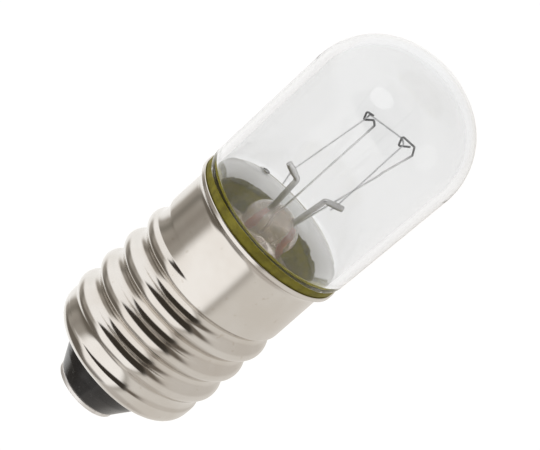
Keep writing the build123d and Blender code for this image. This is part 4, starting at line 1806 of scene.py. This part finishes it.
@dataclass
class Studio:
    """White floor, soft surroundings and lamps at a plain level.

    Attributes:
        view_azimuth: Direction of the camera about the axis, in degrees.
        floor_drop: Floor below the held lamp, in millimetres.
        floor_half: Half the floor's width in millimetres.
        floor_colour: What the floor reflects, which keeps the lamp's shadow.
        floor_glow: The floor's own white.
        front: The camera's own side, which isn't white through glass.
        surroundings: Colour of the directions that no card covers.
        cards: Fields seen in metal and glass, each with its colour, laid one over the other.
        lights: The lamps.
        aim_height: Where the lamps point on the axis, in metres.
    """

    view_azimuth: float
    floor_drop: float = 12.0
    floor_half: float = 900.0
    floor_colour: Colour = (0.4, 0.4, 0.4)
    floor_glow: float = 0.745
    front: Window = Window(-11.5, 26.0, -12.0, 38.0, 10.0)
    surroundings: Colour = (0.78, 0.745, 0.70)
    cards: Sequence[tuple[Colour, Window]] = (
        ((0.67, 0.63, 0.585), Window(90.0, 62.0, 2.0, 62.0, 10.0)),
        ((1.10, 1.08, 1.06), Window(-100.0, 46.0, -4.0, 88.0, 8.0)),
        ((0.52, 0.47, 0.41), Window(-20.0, 60.0, 60.0, 120.0, 10.0)),
        ((0.16, 0.135, 0.11), Window(44.0, 16.0, 16.0, 120.0, 12.0)),
        ((0.045, 0.038, 0.030), Window(-11.5, 45.5, -12.0, 68.0, 4.5)),
        ((1.14, 1.11, 1.08), Window(-17.0, 43.0, -100.0, 7.0, 4.0, -0.15)),
        ((0.44, 0.41, 0.37), Window(29.0, 4.0, -60.0, 0.0, 9.0)),
        ((0.40, 0.37, 0.33), Window(-95.0, 40.0, -100.0, -3.0, 10.0)),
        ((0.26, 0.24, 0.21), Window(-110.0, 7.0, -60.0, -4.0, 6.0)),
        ((0.34, 0.31, 0.275), Window(-82.0, 6.0, -60.0, -4.0, 6.0)),
        ((0.17, 0.15, 0.125), Window(-92.0, 38.0, -100.0, -34.0, 10.0)),
        ((1.05, 1.04, 1.02), Window(-160.0, 24.0, -70.0, 70.0, 10.0)),
        ((0.58, 0.54, 0.50), Window(80.0, 55.0, -100.0, -52.0, 9.0)),
        ((0.30, 0.28, 0.26), Window(-30.0, 52.0, -100.0, -66.0, 9.0)),
    )
    lights: Sequence[Lamp] = (
        Lamp("key", (-0.25, -0.10, 0.34), 0.22, 0.30),
        Lamp("fill", (0.30, -0.22, 0.20), 0.25, 0.12),
    )
    aim_height: float = 0.014

    def build(self) -> None:
        """Builds the floor, the surroundings and the lamps."""
        self.floor()
        self.world()
        self.lamps()

    def floor(self) -> None:
        """White floor below the held lamp: mostly its own white, and lit enough to keep the lamp's shadow."""
        half, level = self.floor_half * MM, -self.floor_drop * MM
        mesh = bpy.data.meshes.new("studio_floor")
        mesh.from_pydata(
            [(-half, -half, level), (half, -half, level), (half, half, level), (-half, half, level)], [],
            [(0, 1, 2, 3)])
        floor = bpy.data.objects.new("studio_floor", mesh)
        bpy.context.scene.collection.objects.link(floor)
        material = bpy.data.materials.new("floor_white")
        material.use_nodes = True
        shader = material.node_tree.nodes["Principled BSDF"]
        shader.inputs["Base Color"].default_value = (*self.floor_colour, 1.0)
        shader.inputs["Roughness"].default_value = 1.0
        shader.inputs["Specular IOR Level"].default_value = 0.0
        shader.inputs["Emission Color"].default_value = (1.0, 1.0, 1.0, 1.0)
        shader.inputs["Emission Strength"].default_value = self.floor_glow
        mesh.materials.append(material)
        floor.visible_glossy = False

    @staticmethod
    def card_mask() -> bpy.types.NodeTree:
        """Node group: a soft-edged window in azimuth and elevation, all in radians.

        Returns:
            The node group.
        """
        tree = bpy.data.node_groups.new("card_mask", "ShaderNodeTree")
        labels = ("Azimuth", "Elevation", "Middle", "Half Width", "Low", "High", "Softness", "Rise")
        for label in labels:
            tree.interface.new_socket(label, in_out="INPUT", socket_type="NodeSocketFloat")
        tree.interface.new_socket("Mask", in_out="OUTPUT", socket_type="NodeSocketFloat")
        wiring = Wiring(tree)
        given = wiring.add("NodeGroupInput").outputs
        from_middle = wiring.math("SUBTRACT", given["Azimuth"], given["Middle"])
        aside = wiring.math("WRAP", from_middle, math.pi, -math.pi)
        top = wiring.math("MULTIPLY_ADD", aside, given["Rise"], given["High"])
        inside = (
            wiring.math("SUBTRACT", given["Half Width"], wiring.math("ABSOLUTE", aside)),
            wiring.math("SUBTRACT", given["Elevation"], given["Low"]),
            wiring.math("SUBTRACT", top, given["Elevation"]))
        soft = given["Softness"]
        masks = [wiring.remap(depth, wiring.math("MULTIPLY", soft, -1.0), soft) for depth in inside]
        mask = wiring.math("MULTIPLY", wiring.math("MULTIPLY", *masks[:2]), masks[2])
        wiring.feed(wiring.add("NodeGroupOutput").inputs["Mask"], mask)
        return tree

    def world(self) -> None:
        """Surroundings: plain beige with soft cards, and white where seen directly or through glass.

        The camera's own side isn't white through glass, so that the glass keeps its edges.
        """
        world = bpy.data.worlds.new("studio")
        bpy.context.scene.world = world
        world.use_nodes = True
        tree = world.node_tree
        tree.nodes.clear()
        wiring = Wiring(tree)
        direction = wiring.add("ShaderNodeTexCoord").outputs["Generated"]
        turned_way = wiring.add(
            "ShaderNodeVectorRotate", {"Vector": direction, "Angle": -math.radians(self.view_azimuth)},
            rotation_type="Z_AXIS")
        axes = wiring.add("ShaderNodeSeparateXYZ", {0: turned_way.outputs[0]}).outputs
        azimuth = wiring.math("ARCTAN2", axes["X"], wiring.math("MULTIPLY", axes["Y"], -1.0))
        elevation = wiring.math("ARCSINE", axes["Z"])
        mask_group = self.card_mask()

        def mask(window: Window) -> bpy.types.NodeSocket:
            """Mask of one field.

            Args:
                window: The field.

            Returns:
                1 inside it and 0 outside, with soft edges.
            """
            node = wiring.add("ShaderNodeGroup", node_tree=mask_group)
            angles = {
                "Middle": window.azimuth, "Half Width": window.half_width, "Low": window.low,
                "High": window.high, "Softness": window.softness}
            for label, value in angles.items():
                wiring.feed(node.inputs[label], math.radians(value))
            for label, value in {"Azimuth": azimuth, "Elevation": elevation, "Rise": window.rise}.items():
                wiring.feed(node.inputs[label], value)
            return node.outputs[0]

        colour: Any = self.surroundings
        for card_colour, window in self.cards:
            colour = wiring.mix(mask(window), colour, card_colour)
        seen = wiring.add("ShaderNodeLightPath").outputs
        behind = wiring.math("SUBTRACT", 1.0, mask(self.front))
        through = wiring.math("MULTIPLY", seen["Is Transmission Ray"], behind)
        direct = wiring.math("MAXIMUM", seen["Is Camera Ray"], through)
        around = wiring.add("ShaderNodeBackground", {"Color": colour, "Strength": 1.0})
        white = wiring.add("ShaderNodeBackground", {"Color": (1.0, 1.0, 1.0, 1.0), "Strength": 1.0})
        both = wiring.add("ShaderNodeMixShader", {0: direct, 1: around.outputs[0], 2: white.outputs[0]})
        wiring.add("ShaderNodeOutputWorld", {"Surface": both.outputs[0]})

    def lamps(self) -> None:
        """Broad soft lamps, left out of reflections, that model the matt surfaces."""
        for lamp in self.lights:
            light = bpy.data.lights.new(lamp.name, "AREA")
            light.shape, light.size, light.energy = "DISK", lamp.size, lamp.power
            holder = bpy.data.objects.new(lamp.name, light)
            holder.location = lamp.place
            aim = Vector((0, 0, self.aim_height)) - Vector(lamp.place)
            holder.rotation_euler = aim.to_track_quat("-Z", "Y").to_euler()
            holder.visible_glossy = False
            bpy.context.scene.collection.objects.link(holder)


@dataclass(frozen=True)
class ProductCamera:
    """Long lens above the dome's side of the lamp, turned so that the lamp leans to the right.

    Attributes:
        azimuth: Direction of the camera about the axis, in degrees.
        elevation: Height of the camera above the lamp's level, in degrees.
        lean: How far the axis leans to the right of upright in the picture, in degrees.
        distance: From the aim point, in millimetres.
        pixels_per_mm: Scale of the picture at the aim point.
        image: Picture's width and height in pixels.
        anchor_below: The axis point that the picture is placed by, below the rim.
        anchor_pixel: Where that point lies in the picture.
        sensor: Sensor width in millimetres.
    """

    azimuth: float = -24.0
    elevation: float = 22.5
    lean: float = 48.71
    distance: float = 250.0
    pixels_per_mm: float = 18.8
    image: tuple[int, int] = (540, 450)
    anchor_below: float = 0.25
    anchor_pixel: tuple[float, float] = (268.58, 228.58)
    sensor: float = 36.0

    def build(self, rim_top: float) -> bpy.types.Object:
        """Places the camera and makes it the scene's own.

        Args:
            rim_top: Height of the shell's rim.

        Returns:
            The camera object.
        """
        turn, rise, lean = (math.radians(value) for value in (self.azimuth, self.elevation, self.lean))
        back = Vector((math.sin(turn) * math.cos(rise), -math.cos(turn) * math.cos(rise), math.sin(rise)))
        level = Vector((math.cos(turn), math.sin(turn), 0.0))
        upright = back.cross(level)
        right = level * math.cos(lean) + upright * math.sin(lean)
        up = upright * math.cos(lean) - level * math.sin(lean)
        aside = self.image[0] / 2 - self.anchor_pixel[0]
        above = self.anchor_pixel[1] - self.image[1] / 2
        anchor = Vector((0.0, 0.0, rim_top - self.anchor_below))
        aim = anchor + (right * aside + up * above) / self.pixels_per_mm
        data = bpy.data.cameras.new("product_camera")
        data.sensor_width = self.sensor
        data.lens = self.pixels_per_mm * self.distance / self.image[0] * self.sensor
        data.clip_start, data.clip_end = 0.01, 10.0
        camera = bpy.data.objects.new("product_camera", data)
        axes = Matrix((right, up, back)).transposed().to_4x4()
        camera.matrix_world = Matrix.Translation((aim + back * self.distance) * MM) @ axes
        bpy.context.scene.collection.objects.link(camera)
        bpy.context.scene.camera = camera
        return camera


def main() -> None:
    """Builds the lamp's sub-assemblies in order, then the studio and the camera."""
    logging.basicConfig(level=logging.INFO, format="%(name)s: %(message)s")
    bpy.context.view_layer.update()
    levels = Levels.from_frame()
    base = ScrewBase(levels)
    base.build()
    bulb = GlassBulb(levels, base)
    bulb.build()
    Stem(levels).build()
    WireMount(levels, bulb).build()
    camera = ProductCamera()
    Studio(camera.azimuth).build()
    camera.build(levels.rim_top)
    bpy.context.scene.view_settings.view_transform = "Standard"


if __name__ == "__main__":
    main()
